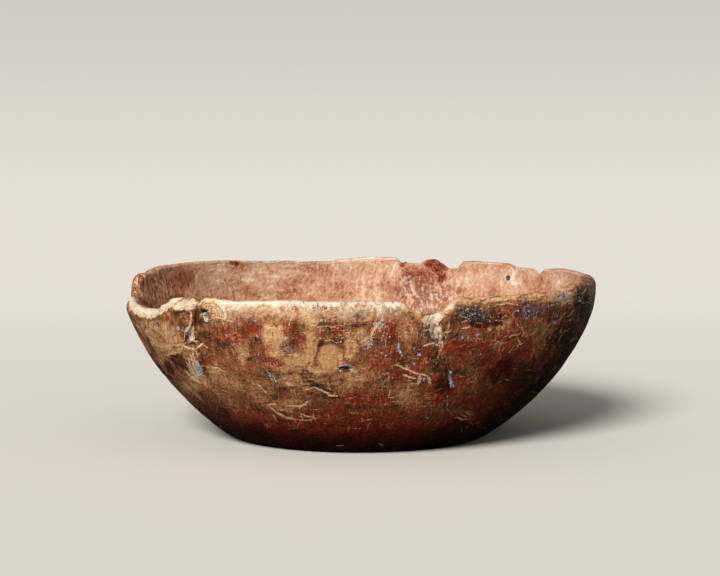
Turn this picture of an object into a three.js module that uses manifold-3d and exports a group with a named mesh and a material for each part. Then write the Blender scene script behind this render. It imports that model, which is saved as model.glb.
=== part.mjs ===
// A bowl hewn whole from one lump of root burl: an oval shell on a flat sole. Its rim sags, splits
// and chips where the folds and bark pockets of the burl ran out at the edge.

import * as THREE from "three";
import { mergeVertices } from "three/addons/utils/BufferGeometryUtils.js";
import Module from "manifold-3d";

// Driving dimensions. Lengths are in millimetres, with +Z up and the sole on Z = 0. Azimuths are in
// degrees from +X, anticlockwise seen from above, so the front of the bowl is at 270.
const BOWL_LENGTH = 320.6; // over the rim, along X
const BOWL_WIDTH = 298; // over the rim, along Y
const RIM_HEIGHT = 107.5; // mean height of the rim
const RIM_TILT = 1.5; // the back of the rim stands this far over the mean, the front as far under it
const SOLE_LENGTH = 170; // flat sole, along X
const SOLE_WIDTH = 158; // flat sole, along Y
const SOLE_SHIFT = -2; // middle of the sole along X, from the middle of the rim

// Outer wall: a curve that leaves the sole low, swells at the belly and closes a little to the rim
const FLARE_REACH = 17;
const FLARE_RISE = 3.8;
const BELLY_HEIGHT = 61.1;
const BELLY_BULGE = 3;

// Hollow: a flat middle that turns up into a wall which thins towards the rim
const FLOOR_THICKNESS = 13;
const FLOOR_LENGTH = 80;
const FLOOR_WIDTH = 74;
const FLOOR_TURN = 33; // how far past the sole's edge the turn from floor to wall reaches
const BELLY_WALL = 14; // measured level
const HOLLOW_LIFT = 5; // the hollow's belly lies this much above the outer one
const RIM_WALL = 9.5;

// Section of the rim: a broad worn bevel outside and a small round inside
const RIM_BEVEL_WIDTH = 4.5;
const RIM_BEVEL_HEIGHT = 7;
const RIM_ARRIS = 2;

// Unevenness left by hewing, as waves round the wall that drift with height
const HEWN_SWELL = 1.1;
const HEWN_WAVES = [
  { lobes: 2, drift: 0, start: 35, share: 0.5 },
  { lobes: 3, drift: 1.9, start: 0, share: 0.6 },
  { lobes: 7, drift: -3.2, start: 60, share: 0.25 },
];

// Where the rim leaves its even run. "flat" is the arc held at the full rise, and "before" and
// "after" are the arcs of its flanks towards lower and higher azimuths. All are arc lengths.
const RIM_FEATURES = [
  { name: "right end lobe", azimuth: 343, flat: 8, before: 52, after: 130, rise: 3 },
  { name: "right back lobe", azimuth: 20, flat: 20, before: 30, after: 14, rise: 1 },
  { name: "right back notch", azimuth: 33, flat: 2, before: 12, after: 8, rise: -5.6 },
  { name: "worn stretch", azimuth: 39.3, flat: 15, before: 8, after: 7, rise: -1.7 },
  { name: "right back swell", azimuth: 52.6, flat: 34, before: 8, after: 12, rise: 1.1 },
  { name: "back split", azimuth: 63.3, flat: 6.4, before: 6.7, after: 11, rise: -5.6 },
  { name: "burr", azimuth: 70, flat: 6, before: 5, after: 5.5, rise: 3 },
  { name: "broken stretch", azimuth: 73.6, flat: 24, before: 6, after: 5, rise: -2.6 },
  { name: "back crest", azimuth: 84, flat: 18, before: 5, after: 30, rise: 2.2 },
  { name: "back sag", azimuth: 103, flat: 24, before: 5, after: 10, rise: -1.2 },
  { name: "back left swell", azimuth: 146, flat: 60, before: 60, after: 38, rise: 3.3 },
  { name: "left horn", azimuth: 172, flat: 4, before: 14, after: 10, rise: 1.3 },
  { name: "left dip", azimuth: 195, flat: 92, before: 15, after: 27, rise: -12.6 },
  { name: "dip throat", azimuth: 208.5, flat: 6, before: 16, after: 10, rise: -0.8 },
  { name: "left lobe", azimuth: 221.8, flat: 9, before: 14, after: 11, rise: -3.3 },
  { name: "fold seam", azimuth: 228.3, flat: 0.6, before: 4, after: 4.5, rise: -2.2 },
  { name: "front left sag", azimuth: 233, flat: 22, before: 16, after: 40, rise: -2.3 },
  { name: "front run", azimuth: 262, flat: 60, before: 60, after: 40, rise: -1.2 },
  { name: "front notch", azimuth: 285.9, flat: 7, before: 17.8, after: 17, rise: -9.1 },
];

// Where wear or a knife took more off the outer edge, added to the rim's bevel
const RIM_CHIPS = [
  { name: "dip face", azimuth: 198.5, flat: 72, before: 40, after: 22, height: 1.2, width: 2.5 },
  { name: "dip end", azimuth: 220.6, flat: 1, before: 8, after: 6, height: -3.5, width: -2 },
  { name: "lobe face", azimuth: 224.4, flat: 6, before: 7, after: 8, height: 2.5, width: 2.5 },
];

// Where the wall leans out below a low stretch of rim, from LIP_DEPTH under the rim upwards
const LIP_DEPTH = 45;
const RIM_LIPS = [{ name: "dip lip", azimuth: 196, flat: 40, before: 50, after: 50, reach: 2.6 }];

// Folds of the burl, furrows in the outer wall from a top to a foot. "below" is measured down from
// the mean rim.
const FOLDS = [
  {
    name: "left cleft",
    top: { azimuth: 230.4, below: 2 },
    foot: { azimuth: 221.5, below: 66 },
    width: 11,
    depth: 2.2,
  },
  {
    name: "front trough",
    top: { azimuth: 286, below: 6 },
    foot: { azimuth: 290, below: 36 },
    width: 15,
    depth: 3,
  },
];

// Bark pockets in the outer wall: hollows with a length up the slope, a width round the wall and a
// depth into it, leaning so that the upper end moves to higher azimuths
const BARK_POCKETS = [
  { name: "fold slit", azimuth: 231.8, below: 10.6, length: 3.4, width: 7, depth: 4, lean: -8 },
  { name: "cleft eye", azimuth: 228.6, below: 32, length: 5, width: 7, depth: 4.6, lean: 10 },
  { name: "cleft foot", azimuth: 224.6, below: 52, length: 30, width: 4.4, depth: 3.6, lean: 16 },
  { name: "front crack", azimuth: 293.2, below: 50.5, length: 26, width: 2.4, depth: 1.8, lean: -13 },
  { name: "knot", azimuth: 266.6, below: 45, length: 4.2, width: 9, depth: 3, lean: 0 },
];

// A beetle's flight hole, blind, in the inner face of the wall
const FLIGHT_HOLE = { azimuth: 44, below: 8.3, diameter: 2.8, depth: 5 };

// Fineness of the facets
const COLUMN_STEP = 4;
const FOLD_STEP = 1.2;
const COLUMN_GAP = 0.7;
const OUTER_ROWS = 14;
const INNER_ROWS = 11;
const BEVEL_STEPS = 3;
const ARRIS_STEPS = 2;
const POCKET_SIDES = 14;
const POCKET_RINGS = 8;
const HOLE_SIDES = 10;

const RADIANS = Math.PI / 180;
const MEAN_RADIUS = (BOWL_LENGTH + BOWL_WIDTH) / 4;
const MM_PER_DEGREE = MEAN_RADIUS * RADIANS;

// Each curve runs through half-lengths along X, half-widths along Y and heights.
const outerCurve = new THREE.CubicBezierCurve3(
  new THREE.Vector3(SOLE_LENGTH / 2, SOLE_WIDTH / 2, 0),
  new THREE.Vector3(SOLE_LENGTH / 2 + FLARE_REACH, SOLE_WIDTH / 2 + FLARE_REACH, FLARE_RISE),
  new THREE.Vector3(BOWL_LENGTH / 2 + BELLY_BULGE, BOWL_WIDTH / 2 + BELLY_BULGE, BELLY_HEIGHT),
  new THREE.Vector3(BOWL_LENGTH / 2, BOWL_WIDTH / 2, RIM_HEIGHT),
);
const hollowBelly = BELLY_BULGE - BELLY_WALL;
const innerCurve = new THREE.CubicBezierCurve3(
  new THREE.Vector3(FLOOR_LENGTH / 2, FLOOR_WIDTH / 2, FLOOR_THICKNESS),
  new THREE.Vector3(SOLE_LENGTH / 2 + FLOOR_TURN, SOLE_WIDTH / 2 + FLOOR_TURN, FLOOR_THICKNESS),
  new THREE.Vector3(
    BOWL_LENGTH / 2 + hollowBelly,
    BOWL_WIDTH / 2 + hollowBelly,
    BELLY_HEIGHT + HOLLOW_LIFT,
  ),
  new THREE.Vector3(BOWL_LENGTH / 2 - RIM_WALL, BOWL_WIDTH / 2 - RIM_WALL, RIM_HEIGHT),
);

// The share along a wall curve at which it reaches a height, found by halving
function shareAt(curve, height) {
  let low = 0;
  let high = 1.5;
  for (let step = 0; step < 40; step++) {
    const middle = (low + high) / 2;
    if (curve.getPoint(middle).z < height) low = middle;
    else high = middle;
  }
  return (low + high) / 2;
}

function hewnSwell(azimuth, height) {
  const turn = (wave) => (wave.lobes * azimuth + wave.drift * height + wave.start) * RADIANS;
  return HEWN_WAVES.reduce((sum, wave) => sum + HEWN_SWELL * wave.share * Math.sin(turn(wave)), 0);
}

// How much of a rim feature an azimuth gets, from 0 to 1
function featureShare(feature, azimuth) {
  const turned = THREE.MathUtils.euclideanModulo(azimuth - feature.azimuth + 180, 360) - 180;
  const arc = turned * MM_PER_DEGREE;
  const flank = arc < 0 ? feature.before : feature.after;
  const past = Math.abs(arc) - feature.flat / 2;
  return 1 - THREE.MathUtils.smoothstep(past, 0, flank);
}

const featureSum = (features, key, azimuth) =>
  features.reduce((sum, f) => sum + f[key] * featureShare(f, azimuth), 0);

function lipReach(azimuth, height) {
  const rise = THREE.MathUtils.smoothstep(height, RIM_HEIGHT - LIP_DEPTH, RIM_HEIGHT);
  return rise * featureSum(RIM_LIPS, "reach", azimuth);
}

// A fold is deepest on its line and runs out over its length at the foot.
function foldDepth(fold, azimuth, height) {
  const along = (height - RIM_HEIGHT + fold.foot.below) / (fold.foot.below - fold.top.below);
  const line = THREE.MathUtils.lerp(fold.foot.azimuth, fold.top.azimuth, along);
  const across = Math.abs(azimuth - line) * MM_PER_DEGREE;
  const bell = 1 - THREE.MathUtils.smoothstep(across, 0, fold.width / 2);
  return fold.depth * bell * THREE.MathUtils.smoothstep(along, 0, 0.6);
}

function wallPoint(curve, azimuth, share) {
  const reach = curve.getPoint(share);
  const turn = THREE.MathUtils.euclideanModulo(azimuth, 360);
  let push = hewnSwell(turn, reach.z) + lipReach(turn, reach.z);
  if (curve === outerCurve) push -= FOLDS.reduce((sum, f) => sum + foldDepth(f, turn, reach.z), 0);
  const swell = 1 + push / MEAN_RADIUS;
  const shift = SOLE_SHIFT * (1 - reach.z / RIM_HEIGHT);
  return new THREE.Vector3(
    reach.x * swell * Math.cos(azimuth * RADIANS) + shift,
    reach.y * swell * Math.sin(azimuth * RADIANS),
    reach.z,
  );
}

const wallPointAt = (curve, azimuth, height) =>
  wallPoint(curve, azimuth, shareAt(curve, height));

function rimHeight(azimuth) {
  const run = RIM_HEIGHT + RIM_TILT * Math.sin(azimuth * RADIANS);
  return run + featureSum(RIM_FEATURES, "rise", azimuth);
}

// Azimuths of the columns, once round: an even step, and closer at each rim feature and fold
function columnAzimuths() {
  const wanted = [];
  for (let azimuth = 0; azimuth < 360; azimuth += COLUMN_STEP) wanted.push(azimuth);
  for (const f of RIM_FEATURES) {
    const low = -f.flat / 2;
    const high = f.flat / 2;
    const arcs = [low - f.before, low - f.before / 2, low, 0, high, high + f.after / 2, high + f.after];
    wanted.push(...arcs.map((arc) => f.azimuth + arc / MM_PER_DEGREE));
  }
  for (const { top, foot, width } of FOLDS) {
    const margin = width / 2 / MM_PER_DEGREE;
    const last = Math.max(top.azimuth, foot.azimuth) + margin;
    for (let a = Math.min(top.azimuth, foot.azimuth) - margin; a < last; a += FOLD_STEP) wanted.push(a);
  }
  const turned = wanted.map((a) => THREE.MathUtils.euclideanModulo(a, 360));
  turned.sort((a, b) => a - b);
  const kept = [];
  for (const a of turned) if (!kept.length || a - kept.at(-1) >= COLUMN_GAP) kept.push(a);
  return kept;
}

// One section of the bowl: sole, outer wall, rim, inner wall and floor, from axis to axis
function section(azimuth) {
  const top = rimHeight(azimuth);
  const bevelHeight = RIM_BEVEL_HEIGHT + featureSum(RIM_CHIPS, "height", azimuth);
  const bevelWidth = RIM_BEVEL_WIDTH + featureSum(RIM_CHIPS, "width", azimuth);
  const points = [new THREE.Vector3(SOLE_SHIFT, 0, 0)];
  const outerTop = shareAt(outerCurve, top - bevelHeight);
  for (let row = 0; row <= OUTER_ROWS; row++)
    points.push(wallPoint(outerCurve, azimuth, (outerTop * row) / OUTER_ROWS));

  const across = (height, inwards) => {
    const outside = wallPointAt(outerCurve, azimuth, height);
    const inside = wallPointAt(innerCurve, azimuth, height);
    return outside.lerp(inside, inwards / outside.distanceTo(inside));
  };
  const wallAt = (height) =>
    wallPointAt(outerCurve, azimuth, height).distanceTo(wallPointAt(innerCurve, azimuth, height));
  for (let step = 1; step <= BEVEL_STEPS; step++) {
    const angle = (90 * RADIANS * step) / BEVEL_STEPS;
    const height = top - bevelHeight * (1 - Math.sin(angle));
    points.push(across(height, bevelWidth * (1 - Math.cos(angle))));
  }
  for (let step = 0; step < ARRIS_STEPS; step++) {
    const angle = (90 * RADIANS * step) / ARRIS_STEPS;
    const height = top - RIM_ARRIS * (1 - Math.cos(angle));
    points.push(across(height, wallAt(height) - RIM_ARRIS * (1 - Math.sin(angle))));
  }

  const innerTop = shareAt(innerCurve, top - RIM_ARRIS);
  for (let row = INNER_ROWS; row >= 0; row--)
    points.push(wallPoint(innerCurve, azimuth, (innerTop * row) / INNER_ROWS));
  points.push(new THREE.Vector3(SOLE_SHIFT, 0, FLOOR_THICKNESS));
  return points;
}

// The shell is a revolve whose columns are then set to the sections of the uneven oval bowl.
function shellGeometry() {
  const sections = columnAzimuths().map(section);
  const profile = sections[0].map((p) => new THREE.Vector2(Math.hypot(p.x, p.y), p.z));
  const geometry = new THREE.LatheGeometry(profile, sections.length);
  const position = geometry.getAttribute("position");
  [...sections, sections[0]].forEach((points, column) =>
    points.forEach((p, row) => position.setXYZ(column * points.length + row, p.x, p.y, p.z)),
  );
  return geometry;
}

// A frame on a wall: along the wall's round, up its slope and out of it
function wallFrame(curve, azimuth, height) {
  const share = shareAt(curve, height);
  const point = wallPoint(curve, azimuth, share);
  const round = wallPoint(curve, azimuth + 0.5, share).sub(wallPoint(curve, azimuth - 0.5, share));
  const slope = wallPoint(curve, azimuth, share + 0.01).sub(wallPoint(curve, azimuth, share - 0.01));
  const out = round.clone().cross(slope).normalize();
  const along = round.normalize();
  const up = out.clone().cross(along);
  return new THREE.Matrix4().makeBasis(along, up, out).setPosition(point);
}

function pocketGeometry({ azimuth, below, length, width, depth, lean }) {
  return new THREE.SphereGeometry(1, POCKET_SIDES, POCKET_RINGS)
    .scale(width / 2, length / 2, depth)
    .rotateZ(-lean * RADIANS)
    .applyMatrix4(wallFrame(outerCurve, azimuth, RIM_HEIGHT - below));
}

function flightHoleGeometry({ azimuth, below, diameter, depth }) {
  return new THREE.CylinderGeometry(diameter / 2, diameter / 2, 2 * depth, HOLE_SIDES)
    .rotateX(90 * RADIANS)
    .applyMatrix4(wallFrame(innerCurve, azimuth, RIM_HEIGHT - below));
}

const wasm = await Module();
wasm.setup();

function solidOf(geometry) {
  const bare = geometry.clone();
  bare.deleteAttribute("normal");
  bare.deleteAttribute("uv");
  const merged = mergeVertices(bare, 1e-4);
  return new wasm.Manifold(
    new wasm.Mesh({
      numProp: 3,
      vertProperties: new Float32Array(merged.getAttribute("position").array),
      triVerts: new Uint32Array(merged.index.array),
    }),
  );
}

function geometryOf(solid) {
  const mesh = solid.getMesh();
  const geometry = new THREE.BufferGeometry()
    .setAttribute("position", new THREE.BufferAttribute(mesh.vertProperties, 3))
    .setIndex(new THREE.BufferAttribute(mesh.triVerts, 1));
  geometry.computeVertexNormals();
  return geometry;
}

function bowlMesh() {
  const cuts = [...BARK_POCKETS.map(pocketGeometry), flightHoleGeometry(FLIGHT_HOLE)];
  const solid = cuts.reduce((bowl, cut) => bowl.subtract(solidOf(cut)), solidOf(shellGeometry()));
  const rootWood = new THREE.MeshStandardMaterial({ color: 0x7d4426, roughness: 0.72, metalness: 0 });
  const mesh = new THREE.Mesh(geometryOf(solid), rootWood);
  mesh.name = "bowl";
  return mesh;
}

const rootBowl = new THREE.Group();
rootBowl.name = "root_bowl";
rootBowl.add(bowlMesh());

export default rootBowl;
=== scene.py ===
"""A root wood bowl with worn paint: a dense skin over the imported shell, its material, light and camera."""

import math

import bpy
import numpy as np
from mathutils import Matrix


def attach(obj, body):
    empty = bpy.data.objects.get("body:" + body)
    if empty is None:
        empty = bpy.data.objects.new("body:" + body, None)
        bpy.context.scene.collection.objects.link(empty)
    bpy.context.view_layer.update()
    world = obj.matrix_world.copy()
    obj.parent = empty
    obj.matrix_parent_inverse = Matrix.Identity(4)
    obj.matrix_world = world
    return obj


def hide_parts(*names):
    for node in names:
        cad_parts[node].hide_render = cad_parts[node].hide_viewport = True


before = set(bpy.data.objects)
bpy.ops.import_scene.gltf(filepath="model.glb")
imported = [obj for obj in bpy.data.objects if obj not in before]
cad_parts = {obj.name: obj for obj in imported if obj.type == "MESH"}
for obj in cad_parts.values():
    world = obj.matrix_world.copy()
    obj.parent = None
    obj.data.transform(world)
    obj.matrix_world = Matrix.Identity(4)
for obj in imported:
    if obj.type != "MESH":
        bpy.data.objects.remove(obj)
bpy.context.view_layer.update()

# Shape of the bowl, in millimetres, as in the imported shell. Azimuths are in degrees from +X,
# anticlockwise seen from above, so the front is at 270.
BOWL_LENGTH = 320.6
BOWL_WIDTH = 298.0
RIM_HEIGHT = 107.5
RIM_TILT = 1.5
SOLE_LENGTH = 170.0
SOLE_WIDTH = 158.0
SOLE_SHIFT = -2.0
FLARE_REACH = 17.0
FLARE_RISE = 3.8
BELLY_HEIGHT = 61.1
BELLY_BULGE = 3.0
FLOOR_THICKNESS = 13.0
FLOOR_LENGTH = 80.0
FLOOR_WIDTH = 74.0
FLOOR_TURN = 33.0
BELLY_WALL = 14.0
HOLLOW_LIFT = 5.0
RIM_WALL = 9.5
RIM_BEVEL_WIDTH = 4.5
RIM_BEVEL_HEIGHT = 7.0
RIM_ARRIS = 2.0
HEWN_SWELL = 1.1
LIP_DEPTH = 45.0

# Waves of unevenness round the wall: lobes, drift with height, start and share
HEWN_WAVES = [(2, 0, 35, 0.5), (3, 1.9, 0, 0.6), (7, -3.2, 60, 0.25)]

# Rim features: azimuth, flat arc, flank before, flank after, rise
RIM_FEATURES = {
    "right end lobe": (343, 8, 52, 130, 3),
    "right back lobe": (20, 20, 30, 14, 1),
    "right back notch": (33, 2, 12, 8, -5.6),
    "worn stretch": (39.3, 15, 8, 7, -1.7),
    "right back swell": (52.6, 34, 8, 12, 1.1),
    "back split": (63.3, 6.4, 6.7, 11, -5.6),
    "burr": (70, 6, 5, 5.5, 3),
    "broken stretch": (73.6, 24, 6, 5, -2.6),
    "back crest": (84, 18, 5, 30, 2.2),
    "back sag": (103, 24, 5, 10, -1.2),
    "back left swell": (146, 60, 60, 38, 3.3),
    "left horn": (172, 4, 14, 10, 1.3),
    "left dip": (195, 92, 15, 27, -12.6),
    "dip throat": (208.5, 6, 16, 10, -0.8),
    "left lobe": (221.8, 9, 14, 11, -3.3),
    "fold seam": (228.3, 0.6, 4, 4.5, -2.2),
    "front left sag": (233, 22, 16, 40, -2.3),
    "front run": (262, 60, 60, 40, -1.2),
    "front notch": (285.9, 7, 17.8, 17, -9.1),
}
# Added height and added width of the outer bevel, with the same arcs
CHIP_HEIGHTS = {
    "dip face": (198.5, 72, 40, 22, 1.2),
    "dip end": (220.6, 1, 8, 6, -3.5),
    "lobe face": (224.4, 6, 7, 8, 2.5),
}
CHIP_WIDTHS = {
    "dip face": (198.5, 72, 40, 22, 2.5),
    "dip end": (220.6, 1, 8, 6, -2),
    "lobe face": (224.4, 6, 7, 8, 2.5),
}
RIM_LIPS = {"dip lip": (196, 40, 50, 50, 2.6)}

# Folds in the outer wall: azimuth and drop of the top, of the foot, width, depth
FOLDS = {
    "left cleft": ((230.4, 2), (221.5, 66), 11, 2.2),
    "front trough": ((286, 6), (290, 36), 15, 3.0),
}
# Bark pockets in the outer wall: azimuth, drop below the rim, length, width, depth, lean
BARK_POCKETS = {
    "fold slit": (231.8, 10.6, 3.4, 7, 4, -8),
    "cleft eye": (228.6, 32, 5, 7, 4.6, 10),
    "cleft foot": (224.6, 52, 30, 4.4, 3.6, 16),
    "front crack": (293.2, 50.5, 26, 2.4, 1.8, -13),
    "knot": (266.6, 45, 4.2, 9, 3, 0),
}
# Flight hole of a beetle in the inner wall: azimuth, drop below the rim, diameter, depth
FLIGHT_HOLE = (44, 8.3, 2.8, 5)
# Share of a fold's length over which it deepens, from its foot up
FOLD_RUN_IN = 0.6
# Fray of the rim's top: height, size and seed of its lumps
RIM_FRAY, RIM_FRAY_SIZE, RIM_FRAY_SEED = 0.5, 11, 3

# Fineness of the skin, in degrees round and rows across
FRONT_FROM, FRONT_TO = 176.0, 364.0
FRONT_STEP, BACK_STEP = 0.24, 0.33
SOLE_ROWS, OUTER_ROWS, BEVEL_ROWS, TOP_ROWS, ARRIS_ROWS = 10, 235, 16, 7, 5
INNER_HIGH_ROWS, INNER_LOW_ROWS, FLOOR_ROWS = 60, 62, 8
# Depth below the rim down to which the inner wall's rows are close together
INNER_HIGH = 46.0

MM = 0.001
RADIANS = math.pi / 180
MEAN_RADIUS = (BOWL_LENGTH + BOWL_WIDTH) / 4
MM_PER_DEGREE = MEAN_RADIUS * RADIANS


def lerp(a, b, t):
    return a + (b - a) * t


def smoothstep(value, low, high):
    t = np.clip((value - low) / (high - low), 0, 1)
    return t * t * (3 - 2 * t)


# Noise in space: random values on a lattice, smoothly joined and summed over octaves

# Odd numbers that scatter the bits of a lattice corner, of the seed and of their sum
CORNER_SCATTER = (374761393, 668265263, 2246822519)
SEED_SCATTER = 3266489917
SUM_SCATTER = (2654435761, 1274126177)
# Moves each octave's lattice away from that of the one before
OCTAVE_SHIFT = 7.3


def lattice_value(corner, seed):
    """A fixed random value from 0 to 1 for each corner."""
    x, y, z = (corner[..., k].astype(np.uint32) * np.uint32(CORNER_SCATTER[k]) for k in range(3))
    bits = x + y + z
    bits = (bits + np.uint32(seed * SEED_SCATTER % 2**32)) ^ (bits >> np.uint32(15))
    bits = bits * np.uint32(SUM_SCATTER[0])
    bits = (bits ^ (bits >> np.uint32(13))) * np.uint32(SUM_SCATTER[1])
    bits = bits ^ (bits >> np.uint32(16))
    return bits.astype(np.float64) / 2**32


def value_noise(points, seed):
    base = np.floor(points)
    part = points - base
    part = part * part * (3 - 2 * part)
    base = base.astype(np.int64)
    total = 0
    for corner in np.ndindex(2, 2, 2):
        near = np.where(corner, part, 1 - part)
        weight = near[..., 0] * near[..., 1] * near[..., 2]
        total = total + weight * lattice_value(base + np.array(corner), seed)
    return total


def cloud(points, size, seed, octaves=3):
    """Noise about 0, within about half of one, whose largest lumps are of that size."""
    total = 0
    for octave in range(octaves):
        finer = 2.0**octave
        values = value_noise(points * (finer / size) + OCTAVE_SHIFT * octave, seed + octave)
        total = total + (values - 0.5) / finer
    return total


# Sections of the bowl

def curve(start, first, second, end):
    return np.array([start, first, second, end], float)


OUTER = curve(
    (SOLE_LENGTH / 2, SOLE_WIDTH / 2, 0),
    (SOLE_LENGTH / 2 + FLARE_REACH, SOLE_WIDTH / 2 + FLARE_REACH, FLARE_RISE),
    (BOWL_LENGTH / 2 + BELLY_BULGE, BOWL_WIDTH / 2 + BELLY_BULGE, BELLY_HEIGHT),
    (BOWL_LENGTH / 2, BOWL_WIDTH / 2, RIM_HEIGHT),
)
HOLLOW_BELLY = BELLY_BULGE - BELLY_WALL
INNER = curve(
    (FLOOR_LENGTH / 2, FLOOR_WIDTH / 2, FLOOR_THICKNESS),
    (SOLE_LENGTH / 2 + FLOOR_TURN, SOLE_WIDTH / 2 + FLOOR_TURN, FLOOR_THICKNESS),
    (BOWL_LENGTH / 2 + HOLLOW_BELLY, BOWL_WIDTH / 2 + HOLLOW_BELLY, BELLY_HEIGHT + HOLLOW_LIFT),
    (BOWL_LENGTH / 2 - RIM_WALL, BOWL_WIDTH / 2 - RIM_WALL, RIM_HEIGHT),
)


def reach_at(bend, share):
    """Reaches along X and Y, and the height, at shares of a section curve."""
    s = np.asarray(share, float)[..., None]
    return (
        (1 - s) ** 3 * bend[0]
        + 3 * (1 - s) ** 2 * s * bend[1]
        + 3 * (1 - s) * s**2 * bend[2]
        + s**3 * bend[3]
    )


# Shares of a section curve, on past its end because the rim rises above its mean height
SHARES = np.linspace(0, 1.3, 2601)


def share_at(bend, height):
    return np.interp(height, reach_at(bend, SHARES)[:, 2], SHARES)


def slope_length(bend, share):
    """Length up the wall's slope to each share, and the lengths at all of SHARES."""
    step = np.linalg.norm(np.diff(reach_at(bend, SHARES)[:, [0, 2]], axis=0), axis=1)
    lengths = np.concatenate([[0], np.cumsum(step)])
    return np.interp(share, SHARES, lengths), lengths


def feature_share(feature, azimuth):
    """How far a feature of the rim shows at an azimuth, from 0 to 1."""
    middle, flat, before, after, _ = feature
    arc = ((azimuth - middle + 180) % 360 - 180) * MM_PER_DEGREE
    past = np.abs(arc) - flat / 2
    return 1 - smoothstep(past, 0, np.where(arc < 0, before, after))


def feature_sum(features, azimuth):
    return sum(f[4] * feature_share(f, azimuth) for f in features.values())


def rim_height(azimuth):
    run = RIM_HEIGHT + RIM_TILT * np.sin(azimuth * RADIANS)
    return run + feature_sum(RIM_FEATURES, azimuth)


def fold_depth(fold, azimuth, height):
    """How deep a fold of the outer wall is at a place on it."""
    (top_azimuth, top_drop), (foot_azimuth, foot_drop), width, depth = fold
    along = (height - RIM_HEIGHT + foot_drop) / (foot_drop - top_drop)
    across = np.abs(azimuth - lerp(foot_azimuth, top_azimuth, along)) * MM_PER_DEGREE
    return depth * (1 - smoothstep(across, 0, width / 2)) * smoothstep(along, 0, FOLD_RUN_IN)


def wall_point(bend, azimuth, share):
    """Points of the outer or inner wall, with waves, lip and folds."""
    reach = reach_at(bend, share)
    height = reach[..., 2]
    turn = np.broadcast_to(azimuth % 360, height.shape)
    push = sum(
        HEWN_SWELL * part * np.sin((lobes * turn + drift * height + start) * RADIANS)
        for lobes, drift, start, part in HEWN_WAVES
    )
    push = push + smoothstep(height, RIM_HEIGHT - LIP_DEPTH, RIM_HEIGHT) * feature_sum(RIM_LIPS, turn)
    if bend is OUTER:
        push = push - sum(fold_depth(f, turn, height) for f in FOLDS.values())
    swell = 1 + push / MEAN_RADIUS
    shift = SOLE_SHIFT * (1 - height / RIM_HEIGHT)
    x = reach[..., 0] * swell * np.cos(turn * RADIANS) + shift
    y = reach[..., 1] * swell * np.sin(turn * RADIANS)
    return np.stack([x, y, height], -1)


def column_azimuths():
    """Azimuths of the columns, closer together in front."""
    front = np.arange(FRONT_FROM, FRONT_TO, FRONT_STEP)
    return np.concatenate([front, np.arange(FRONT_TO, FRONT_FROM + 360, BACK_STEP)])


def rim_rows(azimuth, top):
    """Rows of the rim from the foot of the outer bevel to the inner wall."""
    bevel_height = RIM_BEVEL_HEIGHT + feature_sum(CHIP_HEIGHTS, azimuth)
    bevel_width = RIM_BEVEL_WIDTH + feature_sum(CHIP_WIDTHS, azimuth)

    def across(height, inwards):
        outside = wall_point(OUTER, azimuth, share_at(OUTER, height))
        inside = wall_point(INNER, azimuth, share_at(INNER, height))
        wall = np.linalg.norm(inside - outside, axis=-1)
        part = inwards(wall) / wall
        return lerp(outside, inside, part[..., None])

    rows = []
    for turn in np.linspace(0, 90, BEVEL_ROWS + 1)[1:] * RADIANS:
        height = top - bevel_height * (1 - math.sin(turn))
        rows.append(across(height, lambda wall: bevel_width * (1 - math.cos(turn))))
    for part in np.linspace(0, 1, TOP_ROWS + 1)[1:-1]:
        rows.append(across(top, lambda wall: lerp(bevel_width, wall - RIM_ARRIS, part)))
    for turn in np.linspace(0, 90, ARRIS_ROWS + 1)[:-1] * RADIANS:
        height = top - RIM_ARRIS * (1 - math.cos(turn))
        rows.append(across(height, lambda wall: wall - RIM_ARRIS * (1 - math.sin(turn))))
    return rows, bevel_height


def even_shares(bend, low, high, count):
    """Shares between two others, as rows evenly spaced up the slope."""
    start, lengths = slope_length(bend, low)
    stop, _ = slope_length(bend, high)
    part = np.linspace(0, 1, count + 1)[:, None]
    return np.interp(lerp(start, stop, part), lengths, SHARES)


def bowl_grid():
    """Points of the even skin by row and column, and each row's zone."""
    azimuth = column_azimuths()
    turn = azimuth * RADIANS
    ring = MEAN_RADIUS * np.stack([np.cos(turn), np.sin(turn), 0 * turn], -1)
    top = rim_height(azimuth) + RIM_FRAY * cloud(ring, RIM_FRAY_SIZE, RIM_FRAY_SEED)
    rim, bevel_height = rim_rows(azimuth, top)
    foot = 0 * top
    outer_top = share_at(OUTER, top - bevel_height)
    outer = wall_point(OUTER, azimuth, even_shares(OUTER, foot, outer_top, OUTER_ROWS))
    inner_top = share_at(INNER, top - RIM_ARRIS)
    inner_middle = share_at(INNER, top - INNER_HIGH)
    high = wall_point(INNER, azimuth, even_shares(INNER, inner_top, inner_middle, INNER_HIGH_ROWS))
    low = wall_point(INNER, azimuth, even_shares(INNER, inner_middle, foot, INNER_LOW_ROWS))[1:]
    sole_middle = np.array([SOLE_SHIFT, 0, 0.0])
    floor_middle = np.array([SOLE_SHIFT, 0, FLOOR_THICKNESS])
    sole = [lerp(sole_middle, outer[0], part) for part in np.linspace(0, 1, SOLE_ROWS + 1)[1:-1]]
    floor = [lerp(low[-1], floor_middle, part) for part in np.linspace(0, 1, FLOOR_ROWS + 1)[1:-1]]
    stacks = {
        "sole": sole,
        "outer": outer,
        "bevel": rim[:BEVEL_ROWS],
        "top": rim[BEVEL_ROWS:],
        "inner": [*high, *low],
        "floor": floor,
    }
    zone = np.concatenate([np.full(len(rows), name) for name, rows in stacks.items()])
    return azimuth, np.concatenate([np.array(rows) for rows in stacks.values()]), zone


# Keeps a normal of no length from being divided by 0
SHORTEST_NORMAL = 1e-9


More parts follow.
